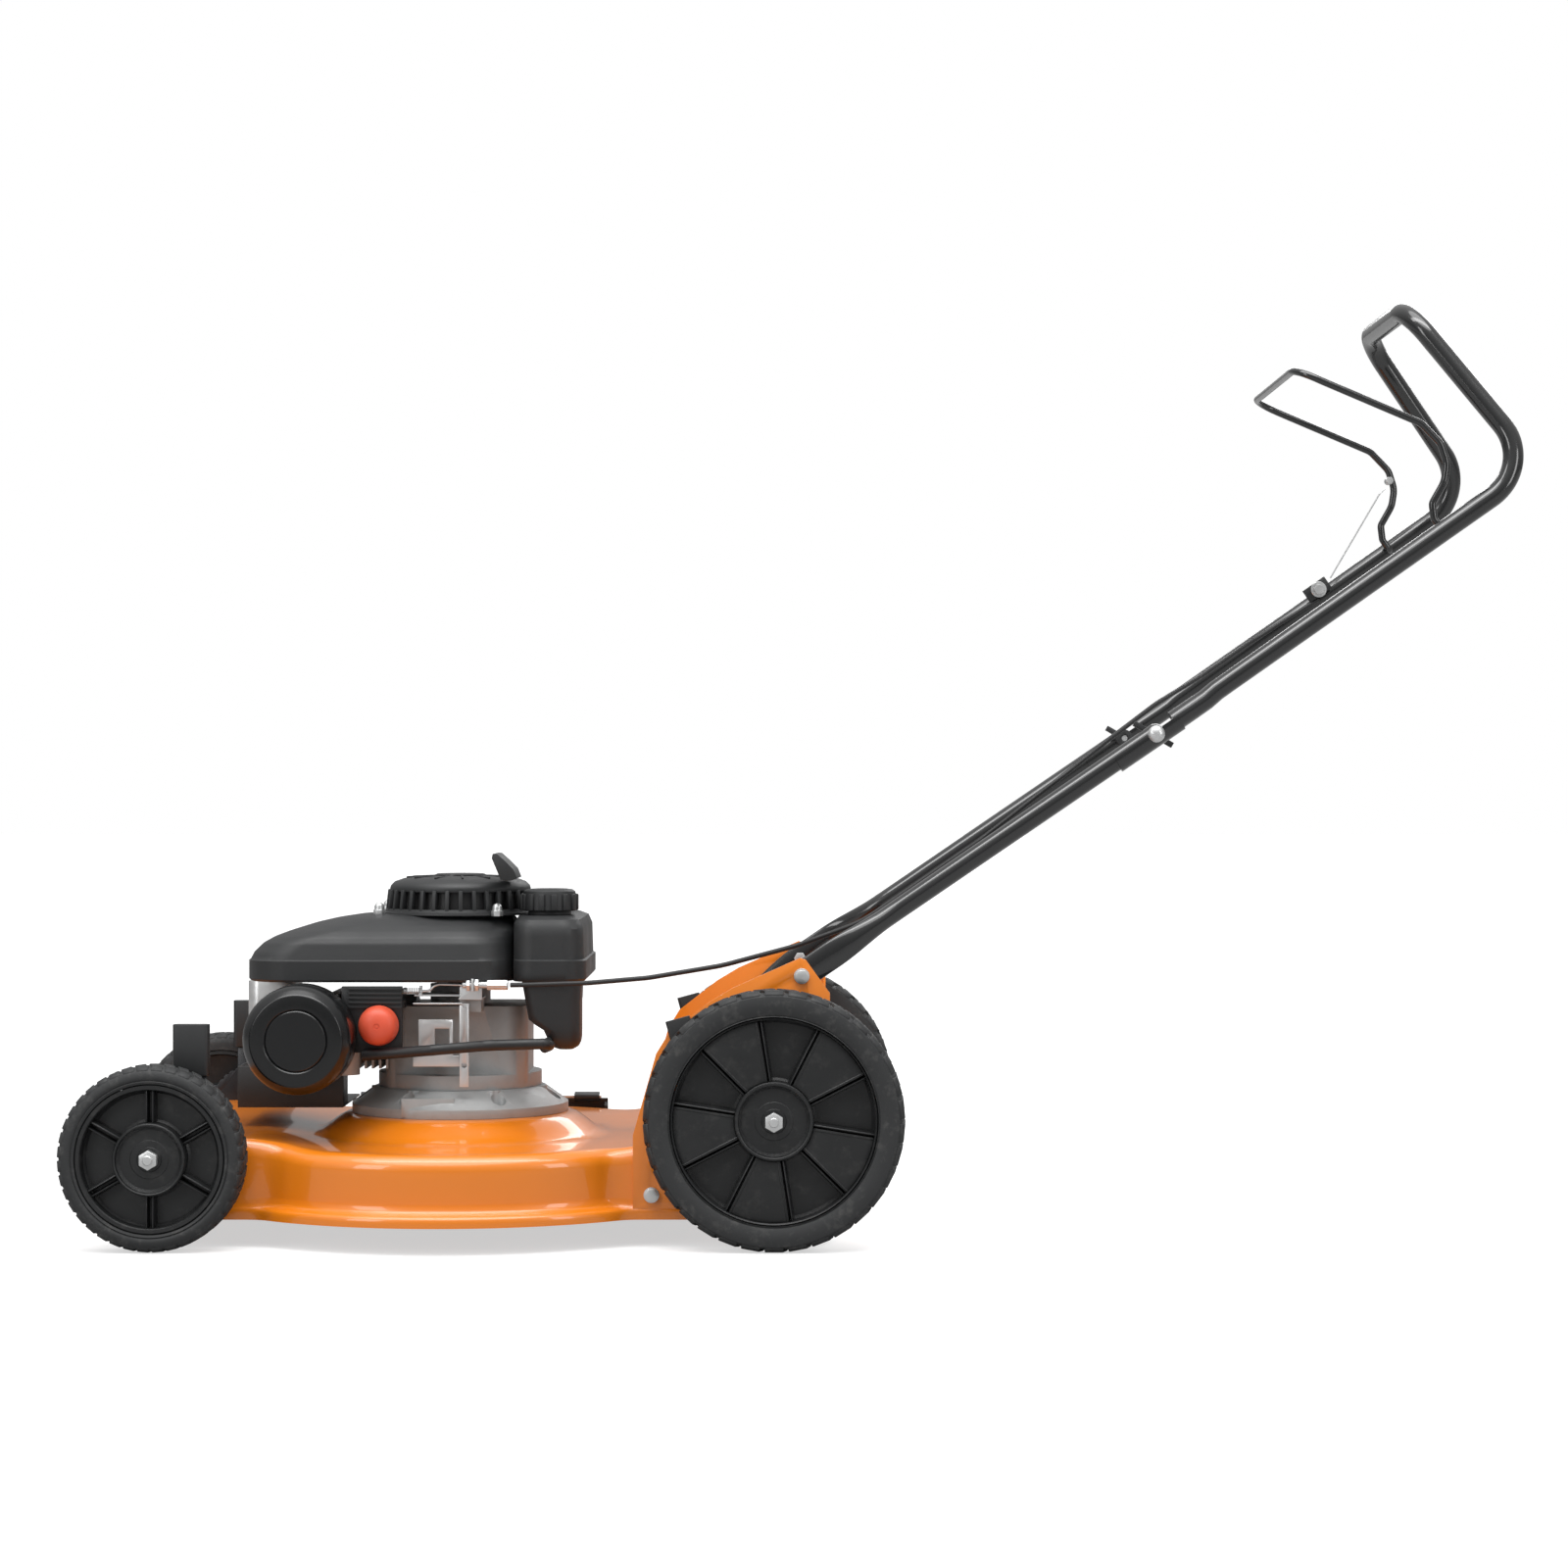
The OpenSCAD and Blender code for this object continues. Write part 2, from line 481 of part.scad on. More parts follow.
module governor_lever() color("#c6c9cb") {
    difference() {
        translate([-370, -110, 164]) cube([10, 2, 92]);
        ycyl([-365, 188], -112, -104, 3.06);
    }
    ycyl([-365, 250], -113, -108, 1.5);
    bent([[-420.8, -111.5, 256], [-365, -111.5, 256], [-365, -111.5, 250]], [4], 1.2);
}
module cable_tab() color("#c8cbcd") {
    xzplate([[-370, 260.2], [-345, 260.2], [-345, 286], [-352, 292], [-362, 292], [-366, 280], [-370, 274]], -112, 2);
    translate([-371, -112, 260.2]) cube([26, 46, 2]);
    rod([-338, -120.2, 277], [-316, -120.2, 277], 5.5);
    translate([-356, -125, 270]) cube([3, 14, 14]);
    rod([-356, -120.2, 277], [-337, -120.2, 277], 3.4);
}
module brake_lever() color("#bfc2c5") {
    difference() {
        translate([-420, -110, 264]) cube([52, 44, 2]);
        translate([-376, -72, 260]) cylinder(r = 3.06, h = 10);
    }
    rod([-412, -120, 266.4], [-412, -106, 266.4], 2);
    rod([-412, -114, 266], [-412, -114, 276], 1.6);
}
module crankshaft() color("#8f9396") on_crank() {
    translate([0, 0, 62]) cylinder(r = shaft_d / 2, h = 92);
    translate([0, 0, 150]) cylinder(r = 15, h = 40);
    translate([0, 0, 189]) cylinder(r = 36, h = 12);
    translate([23.5, 0, 200]) cylinder(r = 13, h = 24);
    translate([0, 0, 223]) cylinder(r = 36, h = 10);
    translate([0, 0, 232]) cylinder(r = 15, h = 50);
    translate([0, 0, 281]) cylinder(r = 8, h = 52);
}
module flywheel() color("#9b9ea0") on_crank() difference() {
    union() {
        translate([0, 0, 288]) cylinder(r = 60, h = 8);
        translate([0, 0, 288]) cylinder(r = 20, h = 30);
        difference() {
            translate([0, 0, 288]) cylinder(r = 61, h = 18);
            translate([0, 0, 287]) cylinder(r = 51, h = 30);
        }
        for (i = [0 : 15]) rotate([0, 0, i * 22.5]) translate([30, -1.2, 295.5]) cube([24, 2.4, 20]);
    }
    translate([0, 0, 280]) cylinder(r = 8.02, h = 60);
}
module blade_adapter() color("#6d6f71") on_crank() difference() {
    union() {
        translate([0, 0, 64]) cylinder(r = 20, h = 28);
        translate([0, 0, 61]) cylinder(r = 30, h = 5);
    }
    translate([0, 0, 55]) cylinder(r = shaft_d / 2 + 0.03, h = 50);
}
module blade() color("#3a3b3d") on_crank() difference() {
    union() {
        translate([-blade_l / 2 + 3, -27, 56.6]) cube([blade_l - 6, 54, 4]);
        // lift wings at the trailing ends
        for (a = [0, 180]) rotate([0, 0, a]) translate([150, 27, 56.6]) rotate([24, 0, 0]) translate([0, -2, 0]) cube([96, 30, 3.6]);
        translate([0, 0, 44]) cylinder(r = 9.5, h = 7, $fn = 6);
        translate([0, 0, 51]) cylinder(r = 18, h = 6);
    }
}
module rope_pulley() color("#e3e0d6") on_crank() difference() {
    translate([0, 0, 354]) rotate_extrude() polygon([[8.06, 0], [62, 0], [62, 3], [44, 5], [44, 15], [62, 17], [62, 20], [8.06, 20]]);
    for (i = [0 : 5]) rotate([0, 0, i * 60]) translate([26, 0, 350]) cylinder(r = 8, h = 30);
}
grip_x = crank_x + 60;
module starter_grip() color("#161616") translate([grip_x - 4, -62, 0]) {
    // T-shaped pull, long axis across the mower
    translate([0, 24, 0]) rotate([90, 0, 0]) linear_extrude(68) polygon([[-2, 392], [8, 391], [16, 394], [12, 404], [2, 414], [-6, 421], [-11, 421], [-12, 416], [-7, 404]]);
}

// ---- handle ----
low_dir = unit(fold_xz - bolt_xz);
// Angle of the folded-out lower tube above the ground
low_a = atan2(low_dir[1], low_dir[0]);
module lower_handle(s) color("#121212") side(s) difference() {
    y0 = -196;
    start = bolt_xz + low_dir * 60;
    union() {
        // flattened end against the bracket
        translate([bolt_xz[0], y0, bolt_xz[1]]) rotate([0, -low_a, 0])
            union() {
                translate([-14, -4.7, -14]) cube([90, 9.2, 28]);
                // tapered tail below the bolt
                translate([0, 4.5, 0]) rotate([90, 0, 0]) linear_extrude(9.2) polygon([[-80, 5], [-80, 12], [-13, 14], [-13, -12], [-40, -4]]);
            }
        bent([at(start, y0 + 6.4), at(start + low_dir * 60, -handle_y), at(fold_xz, -handle_y)], [160], tube_d / 2);
        translate(at(fold_xz, -handle_y)) sphere(r = tube_d * 0.511);
    }
    ycyl(bolt_xz, -220, -160, 4.06);
    ycyl(fold_xz, -220, -160, 4.06);
}
module lower_handle_left() lower_handle(-1);
module lower_handle_right() lower_handle(1);

up_start = [455, 599];
module upper_loop(r)
    bent([at(up_start, -handle_y), at(bend_xz, -handle_y), at(bar_xz, -bar_y),
        at(bar_xz, bar_y), at(bend_xz, handle_y), at(up_start, handle_y)], [58, 50, 50, 58], r);
// Channel that the lower tube lies in, open upwards so that the handle folds forward
module fold_channel() translate(at(fold_xz, -handle_y)) rotate([0, -low_a, 0]) {
    translate([-52, -13.9, -13.9]) cube([76, 27.8, 2.3]);
    for (w = [-13.9, 11.6]) translate([-52, w, -13]) cube([76, 2.3, 21]);
    translate([16, -13.9, -13.9]) cube([10, 27.8, 22]);
    translate([20, 0, 0]) rotate([0, 90, 0]) cylinder(r = tube_d / 2, h = 63);
}
module upper_handle() color("#121212") difference() {
    union() {
        upper_loop(tube_d / 2);
        for (s = [-1, 1]) side(s) {
            fold_channel();
            translate(at(up_start, -handle_y)) sphere(r = tube_d * 0.511);
            // fold bolt with a mushroom head outside
            ycyl(fold_xz, -199, -158, 4);
            ycyl(fold_xz, -201, -195, 9);
        }
    }
    // holes for the bail's ends
    for (s = [-1, 1]) side(s) ycyl([703, 774], -handle_y, -160, 4.06);
}
module wing_nut(s) color("#1a1a1a") side(s) translate(at(fold_xz, -167.8)) difference() {
    union() {
        rotate([-90, 0, 0]) cylinder(r = 10, h = 12);
        for (a = [0, 180]) rotate([0, a + 30, 0]) translate([7, 2, -3]) cube([17, 8, 6]);
    }
    rotate([-90, 0, 0]) translate([0, 0, -1]) cylinder(r = 4.06, h = 20);
}
module wing_nut_left() wing_nut(-1);
module wing_nut_right() wing_nut(1);
bail_p = [[703, 774], [694, 786], [692, 803], [705, 826], [708, 846], [701, 868], [680, 890], [572, 936], [543, 949]];
bail_y = 164;
bail_r = [5, 8, 8, 30, 30, 20, 20, 30, 26];
module bail() color("#141414")
    bent(concat([at(bail_p[0], -bail_y - 12)], [for (q = bail_p) at(q, -bail_y)],
            [for (i = [8 : -1 : 0]) at(bail_p[i], bail_y)], [at(bail_p[0], bail_y + 12)]),
        concat(bail_r, [for (i = [8 : -1 : 0]) bail_r[i]]), 4);
module brake_cable() color("#151515")
    bent([[616.6, 160, 713.8], [541, 151, 668], [472, 60, 625], [405, -40, 588], [343, -110, 545], [293, -152, 508], [200, -158, 436], [136, -158, 392],
        [72, -160, 348], [2, -152, 322], [-80, -150, 300], [-161, -140, 286], [-227, -134, 280], [-291, -124, 277.5], [-313, -120.2, 277]],
        [60, 80, 80, 80, 60, 120, 120, 120, 120, 150, 150, 150, 120, 60], 2.75);
module cable_wire() color("#b8b8b8") bent([[632, 160, 741], [690, 160, 840], [696, 160, 846]], [12], 0.9);
module cable_bracket() color("#191919") {
    translate([616, 162, 726]) rotate([0, -35, 0]) translate([-14, -6, -7]) cube([30, 8, 16]);
    ycyl([616, 726], 152, 170, 5);
}

deck_shell();
rear_bracket_left();
rear_bracket_right();
index_plates();
side_door();
door_hinge();
frame_bolts();
tyre_fl();
rim_fl();
lever_fl();
grip_fl();
tyre_fr();
rim_fr();
lever_fr();
grip_fr();
tyre_rl();
rim_rl();
lever_rl();
grip_rl();
tyre_rr();
rim_rr();
lever_rr();
grip_rr();
sump();
engine_block();
piston();
spark_plug();
muffler();
air_guide();
carburetor();
filter_cover();
primer_panel();
primer_bulb();
blower_shroud();
recoil_housing();
engine_fasteners();
fuel_tank();
fuel_cap();
fuel_hose();
dipstick();
governor_bracket();
governor_lever();
cable_tab();
brake_lever();
crankshaft();
flywheel();
blade_adapter();
blade();
rope_pulley();
starter_grip();
lower_handle_left();
lower_handle_right();
upper_handle();
wing_nut_left();
wing_nut_right();
bail();
brake_cable();
cable_wire();
cable_bracket();
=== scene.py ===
# Looks of a walk-behind petrol lawn mower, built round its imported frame.
# Front of the deck at -X, handle at +X, discharge side at +Y, up +Z, metres.
import json
import math

import bmesh
import bpy
import numpy as np
from mathutils import Matrix, Vector


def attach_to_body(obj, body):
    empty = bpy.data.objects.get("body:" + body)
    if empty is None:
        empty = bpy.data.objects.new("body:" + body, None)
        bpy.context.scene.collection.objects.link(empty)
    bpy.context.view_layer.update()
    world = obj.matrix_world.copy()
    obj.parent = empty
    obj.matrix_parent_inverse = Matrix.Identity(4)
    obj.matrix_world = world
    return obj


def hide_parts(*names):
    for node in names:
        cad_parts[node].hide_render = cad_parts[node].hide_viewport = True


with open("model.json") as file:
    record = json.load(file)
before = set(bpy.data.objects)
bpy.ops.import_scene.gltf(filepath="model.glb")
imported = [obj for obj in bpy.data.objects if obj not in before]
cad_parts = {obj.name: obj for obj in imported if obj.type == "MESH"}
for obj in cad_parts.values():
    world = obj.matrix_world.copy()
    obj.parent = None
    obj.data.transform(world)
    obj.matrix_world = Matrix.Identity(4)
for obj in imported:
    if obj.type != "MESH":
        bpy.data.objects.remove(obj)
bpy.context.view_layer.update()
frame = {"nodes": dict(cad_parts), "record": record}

# ---------------------------------------------------------------- sizes, metres
CRANK_X = -0.379          # crankshaft axis
DECK_R = 0.270            # round wall of the blade housing
FLANGE_Y = 0.2008         # flat side walls between the wheels
RIM_Z = 0.0295            # lower edge of the deck
SEAT_Z = 0.1288           # where the engine stands
SEAT_R = 0.124
DOOR_Y = 0.252            # flat face with the discharge opening
SHEET = 0.0022
TUBE_R = 0.0111
HANDLE_Y = 0.182
BOLT = (0.0067, 0.2914)   # lower handle bolt, x and z
FOLD = (0.389, 0.552)     # fold bolt
BEND = (0.8012, 0.842)    # corner of the upper bend
BAR = (0.6694, 1.019)     # crossbar
BAR_Y = 0.129             # half its length, corner to corner
SIDES = {"fl": (-0.685, 0.100, -1), "fr": (-0.685, 0.100, 1),
         "rl": (-0.023, 0.140, -1), "rr": (-0.023, 0.140, 1)}
WHEEL_OUT = 0.262         # outer face of a tyre from the middle plane
TYRE_W = 0.046
DECK_BACK = 0.034         # back and front of the straight part of the deck
DECK_FRONT = 0.738
SHOULDER_R = 0.017        # bend between the deck's top and its wall
OPENING_HALF = 0.146      # half the length of the discharge opening
LIP_OUT = 0.014           # how far the rolled lip stands out
HOLE_R = 0.062            # hole in the deck for the crankshaft
BOLT_Y = 0.196            # middle of a lower tube's flattened end
CHANNEL_R = 0.0138        # fold channel, outside
TAIL = 0.078              # flattened tube past the lower bolt
ROD_R = 0.004             # bail
BAIL_Y = 0.164
SHEATH_R = 0.0027         # brake cable
CAP = (-0.274, -0.060, 0.0)
FILTER = (-0.540, 0.0, 0.220)
PRIMER = (-0.457, 0.0, 0.233)
CABLE_END_Y = -0.1202     # where the brake cable meets the engine
CABLE_END_Z = 0.277
LEVER_FACE_Y = 0.2105     # past this a height lever is its zinc plated bolt
EDGE = 0.0006             # usual rounding of a moulded or pressed edge
GRAIN_DEPTH = 0.0006      # height of a material's grain at full strength
LENS = 80.2               # the camera's focal length in millimetres, and where it stands
CAMERA = (-0.0124, -3.960, 0.498)


# ---------------------------------------------------------------- materials
def srgb(code):
    """Linear colour of a hex sRGB value."""
    parts = [int(code[i:i + 2], 16) / 255 for i in (1, 3, 5)]
    return tuple(c / 12.92 if c <= 0.04045 else ((c + 0.055) / 1.055) ** 2.4 for c in parts) + (1.0,)


def add(tree, kind, settings=None, **links):
    """Adds a node, sets its properties or sockets, and links its sockets by name."""
    node = tree.nodes.new(kind)
    for key, value in (settings or {}).items():
        if isinstance(key, int) or key in node.inputs:
            node.inputs[key].default_value = value
        else:
            setattr(node, key, value)
    for key, source in links.items():
        key = key.replace("_", " ")
        socket = node.inputs[key] if key in node.inputs else node.inputs[int(key[1:])]
        tree.links.new(source, socket)
    return node


def finish_of(name, base, rough, metallic=0.0, grain_mm=1.0, grain=0.1, mottle=0.06, mottle_mm=40.0,
              rough_swing=0.08, coat=0.0, coat_rough=0.05, ior=1.5, worn=None, dust=0.0):
    """A surface with its colour drifting slowly over it, a fine grain in its height and its gloss.

    grain_mm is the size of the grain and grain how strong its relief is. worn is the colour of its
    scuffed or duller patches, and dust how much of it they take on."""
    material = bpy.data.materials.new(name)
    material.use_nodes = True
    tree = material.node_tree
    tree.nodes.clear()
    out = add(tree, "ShaderNodeOutputMaterial")
    bsdf = add(tree, "ShaderNodeBsdfPrincipled", {"Metallic": metallic})
    if metallic < 0.5:
        bsdf.inputs["IOR"].default_value = ior
    if coat:
        bsdf.inputs["Coat Weight"].default_value = coat
        bsdf.inputs["Coat Roughness"].default_value = coat_rough
    tree.links.new(bsdf.outputs[0], out.inputs[0])
    place = add(tree, "ShaderNodeTexCoord").outputs["Object"]
    drift = add(tree, "ShaderNodeTexNoise", {"Scale": 1000.0 / mottle_mm, "Detail": 4.0,
                                             "Roughness": 0.55}, Vector=place)
    fine = add(tree, "ShaderNodeTexNoise", {"Scale": 1000.0 / grain_mm, "Detail": 3.0},
               Vector=place).outputs["Fac"]
    low = tuple(c * (1 - mottle * 2) for c in srgb(base)[:3]) + (1.0,)
    high = tuple(min(1, c * (1 + mottle * 2) + mottle * 0.01) for c in srgb(base)[:3]) + (1.0,)
    tone = add(tree, "ShaderNodeMix", {"data_type": "RGBA", 6: low, 7: high}, i0=drift.outputs["Fac"])
    colour = tone.outputs[2]
    if worn or dust:
        # dust and scuffs gather in patches about a third as wide as the drift of colour
        patch = add(tree, "ShaderNodeTexNoise", {"Scale": 1000.0 / (mottle_mm * 0.35), "Detail": 6.0,
                                                 "Roughness": 0.7}, Vector=place)
        mask = add(tree, "ShaderNodeMapRange", {"From Min": 0.52, "From Max": 0.75,
                                                "To Max": dust or 0.35}, Value=patch.outputs["Fac"])
        colour = add(tree, "ShaderNodeMix", {"data_type": "RGBA", 7: srgb(worn or "#8a8783")},
                     i0=mask.outputs[0], i6=colour).outputs[2]
    tree.links.new(colour, bsdf.inputs["Base Color"])
    gloss = add(tree, "ShaderNodeMapRange", {"From Min": 0.3, "From Max": 0.7,
                                             "To Min": rough - rough_swing,
                                             "To Max": rough + rough_swing}, Value=drift.outputs["Fac"])
    tree.links.new(gloss.outputs[0], bsdf.inputs["Roughness"])
    bump = add(tree, "ShaderNodeBump", {"Strength": grain, "Distance": GRAIN_DEPTH}, Height=fine)
    tree.links.new(bump.outputs[0], bsdf.inputs["Normal"])
    return material


# Stoved orange enamel on pressed steel: a deep gloss coat over a slightly rippled sheet
ENAMEL = finish_of("orange_enamel", "#de7a0e", 0.32, grain_mm=9.0, grain=0.03, mottle=0.025,
                   mottle_mm=120.0, rough_swing=0.04, coat=0.8, coat_rough=0.035)
# Black powder coat on the drawn tube: glossy, with a faint orange peel
TUBE_COAT = finish_of("black_powder_coat", "#101112", 0.22, grain_mm=7.0, grain=0.02, mottle=0.05,
                      mottle_mm=60.0, rough_swing=0.04, coat=0.9, coat_rough=0.05)
# Moulded black polypropylene with a fine spark-eroded grain: soft grey sheen
MOULDED = finish_of("moulded_polypropylene", "#222324", 0.50, grain_mm=0.9, grain=0.22, mottle=0.05,
                    mottle_mm=50.0, rough_swing=0.06)
# Moulded polypropylene of the rims: smoother, with a little dust in its patches
RIM_PLASTIC = finish_of("rim_polypropylene", "#171819", 0.44, grain_mm=1.2, grain=0.12, mottle=0.06,
                        mottle_mm=45.0, rough_swing=0.07, dust=0.08)
# Polished ABS of the filter lid and the starter disc: nearly black with a clear gloss
LID_PLASTIC = finish_of("polished_abs", "#0f1011", 0.24, grain_mm=3.0, grain=0.03, mottle=0.05,
                        mottle_mm=70.0, rough_swing=0.04)
# Tyre compound: dull, dusty, with a coarse skin
TREAD = finish_of("tyre_compound", "#252627", 0.66, grain_mm=1.4, grain=0.3, mottle=0.08, mottle_mm=35.0,
                  rough_swing=0.07, dust=0.16)
# Extruded nitrile hose and cable sheath: dark, half dull
HOSE = finish_of("nitrile_hose", "#1b1b1c", 0.48, grain_mm=0.8, grain=0.15, mottle=0.06, mottle_mm=25.0)
# Die-cast aluminium: pale grey, shot-blasted skin with duller patches
CASTING = finish_of("die_cast_aluminium", "#a3a5a5", 0.46, metallic=0.35, grain_mm=1.1, grain=0.3,
                    mottle=0.07, mottle_mm=22.0, rough_swing=0.09, worn="#8b8c8c", dust=0.3)
# Bright zinc plating on pressings and fasteners
ZINC = finish_of("bright_zinc", "#d2d3d3", 0.36, metallic=0.8, grain_mm=1.6, grain=0.03, mottle=0.05,
                 mottle_mm=12.0, rough_swing=0.06)
# Oiled forged and ground steel of the shaft and blade
FORGED = finish_of("oiled_steel", "#5b5c5e", 0.38, metallic=0.9, grain_mm=0.8, grain=0.2, mottle=0.1,
                   mottle_mm=25.0)
# Blued spring steel of the height levers
SPRING_STEEL = finish_of("blackened_spring_steel", "#26272a", 0.34, metallic=0.3, grain_mm=1.5, grain=0.1,
                         mottle=0.08, mottle_mm=25.0)
# Soft translucent red rubber of the priming bulb
BULB = finish_of("primer_rubber", "#d2543a", 0.42, grain_mm=1.5, grain=0.08, mottle=0.04, mottle_mm=12.0,
                 ior=1.45)
# Unpainted nylon of the rope pulley: off-white, half dull
NATURAL = finish_of("natural_nylon", "#dedacd", 0.45, grain_mm=1.0, grain=0.1, mottle=0.03)
# Glazed insulator of the spark plug: white and glossy
CERAMIC = finish_of("glazed_insulator", "#e6e4dc", 0.22, grain_mm=4.0, grain=0.02, mottle=0.02)
# Matt pale floor
FLOOR = finish_of("pale_studio_floor", "#bdbdbd", 0.8, grain_mm=8.0, grain=0.01, mottle=0.004,
                  mottle_mm=900.0, rough_swing=0.02)


def calm_floor(material, share):
    """Let the floor throw back only a share of its light, so that glossy sides keep their colour."""
    tree = material.node_tree
    out = next(n for n in tree.nodes if n.type == "OUTPUT_MATERIAL")
    bsdf = next(n for n in tree.nodes if n.type == "BSDF_PRINCIPLED")
    bsdf.inputs["Emission Color"].default_value = (1, 1, 1, 1)
    bsdf.inputs["Emission Strength"].default_value = 0.58
    dim = add(tree, "ShaderNodeBsdfDiffuse", {"Color": (share, share, share, 1)})
    ray = add(tree, "ShaderNodeLightPath")
    both = add(tree, "ShaderNodeMixShader", i0=ray.outputs["Is Camera Ray"], i1=dim.outputs[0],
               i2=bsdf.outputs[0])
    tree.links.new(both.outputs[0], out.inputs[0])


calm_floor(FLOOR, 0.34)


# ---------------------------------------------------------------- mesh helpers
def make(name, verts, faces, material, smooth=35.0):
    """A mesh object with outward faces, smooth except at edges sharper than the angle."""
    mesh = bpy.data.meshes.new(name)
    mesh.from_pydata([tuple(v) for v in verts], [], faces)
    bm = bmesh.new()
    bm.from_mesh(mesh)
    bmesh.ops.remove_doubles(bm, verts=bm.verts, dist=1e-6)
    bmesh.ops.recalc_face_normals(bm, faces=bm.faces)
    bm.to_mesh(mesh)
    bm.free()
    return dress(name, mesh, material, smooth)


def dress(name, mesh, material, smooth=35.0):
    """Wraps a mesh in an object, with its material and its smooth angle."""
    mesh.materials.clear()
    mesh.materials.append(material)
    mesh.shade_smooth()
    mesh.set_sharp_from_angle(angle=math.radians(smooth))
    piece = bpy.data.objects.new(name, mesh)
    bpy.context.collection.objects.link(piece)
    return piece


def bake(piece, smooth=None):
    """Applies the piece's modifiers, so that it is a plain mesh."""
    graph = bpy.context.evaluated_depsgraph_get()
    mesh = bpy.data.meshes.new_from_object(piece.evaluated_get(graph), depsgraph=graph)
    piece.modifiers.clear()
    piece.data = mesh
    if smooth:
        mesh.shade_smooth()
        mesh.set_sharp_from_angle(angle=math.radians(smooth))
    return piece


def bevel(piece, width, segments=2):
    """Rounds the piece's sharp edges, as moulds and presses leave them."""
    m = piece.modifiers.new("edge", "BEVEL")
    m.width = width
    m.segments = segments
    m.limit_method = "ANGLE"
    m.angle_limit = math.radians(32.0)
    m.miter_outer = "MITER_ARC"
    m.use_clamp_overlap = True
    m.harden_normals = False
    return bake(piece, 40.0)


def join(name, *pieces):
    """Makes one piece out of several, all of whose places are in their meshes."""
    bm = bmesh.new()
    slots = []
    for piece in pieces:
        part = bmesh.new()
        part.from_mesh(piece.data)
        for face in part.faces:
            slot = piece.data.materials[face.material_index]
            if slot not in slots:
                slots.append(slot)
            face.material_index = slots.index(slot)
        spare = bpy.data.meshes.new("spare")
        part.to_mesh(spare)
        bm.from_mesh(spare)
        part.free()
        bpy.data.meshes.remove(spare)
        bpy.data.objects.remove(piece)
    mesh = bpy.data.meshes.new(name)
    bm.to_mesh(mesh)
    bm.free()
    for slot in slots:
        mesh.materials.append(slot)
    piece = bpy.data.objects.new(name, mesh)
    bpy.context.collection.objects.link(piece)
    return piece


def dress_node(node, material):
    """A copy of a CAD node with merged faces and rounded edges that stands for it."""
    mesh = frame["nodes"][node].data.copy()
    bm = bmesh.new()
    bm.from_mesh(mesh)
    bmesh.ops.remove_doubles(bm, verts=bm.verts, dist=2e-6)
    bmesh.ops.dissolve_limit(bm, angle_limit=math.radians(1.5), verts=bm.verts, edges=bm.edges)
    bm.to_mesh(mesh)
    bm.free()
    piece = dress(node + "_shape", mesh, material)
    bevel(piece, EDGE)
    attach(piece, BODY_OF[node], node)


def spun(profile, centre, axis="Y", count=128, way=1):
    """Vertices and faces of a turned shape: profile holds radius and distance along the axis."""
    verts, faces = [], []
    rows = len(profile)
    for i in range(count):
        a = 2 * math.pi * i / count
        c, s = math.cos(a), math.sin(a)
        for r, h in profile:
            h *= way
            local = {"Y": (r * c, h, r * s), "Z": (r * c, r * s, h), "X": (h, r * c, r * s)}[axis]
            verts.append(tuple(local[k] + centre[k] for k in range(3)))
    for i in range(count):
        j = (i + 1) % count
        for k in range(rows - 1):
            faces.append((i * rows + k, j * rows + k, j * rows + k + 1, i * rows + k + 1))
    return verts, faces


def lathe(name, profile, centre, material, axis="Y", count=128, way=1, smooth=30.0):
    """A piece turned from a profile of radius and distance along the axis."""
    verts, faces = spun(profile, centre, axis, count, way)
    return make(name, verts, faces, material, smooth)


def rounded_path(points, radii, step=0.004):
    """Points along straight runs joined by arcs of the given radii."""
    points = [Vector(p) for p in points]
    out = [points[0]]
    for i in range(1, len(points) - 1):
        u = (points[i] - points[i - 1]).normalized()
        v = (points[i + 1] - points[i]).normalized()
        turn = u.angle(v)
        if turn < 1e-3 or not radii[i - 1]:
            out.append(points[i])
            continue
        r = radii[i - 1]
        back = r * math.tan(turn / 2)
        centre = points[i] + (v - u).normalized() * r / math.cos(turn / 2)
        start = points[i] - u * back - centre
        axis = u.cross(v).normalized()
        n = max(4, math.ceil(turn * r / step))
        for k in range(n + 1):
            out.append(centre + Matrix.Rotation(turn * k / n, 3, axis) @ start)
    out.append(points[-1])
    return out


def densify(path, step):
    """The same path with no run longer than the step."""
    out = [path[0]]
    for a, b in zip(path, path[1:]):
        n = max(1, math.ceil((b - a).length / step))
        out += [a.lerp(b, k / n) for k in range(1, n + 1)]
    return out


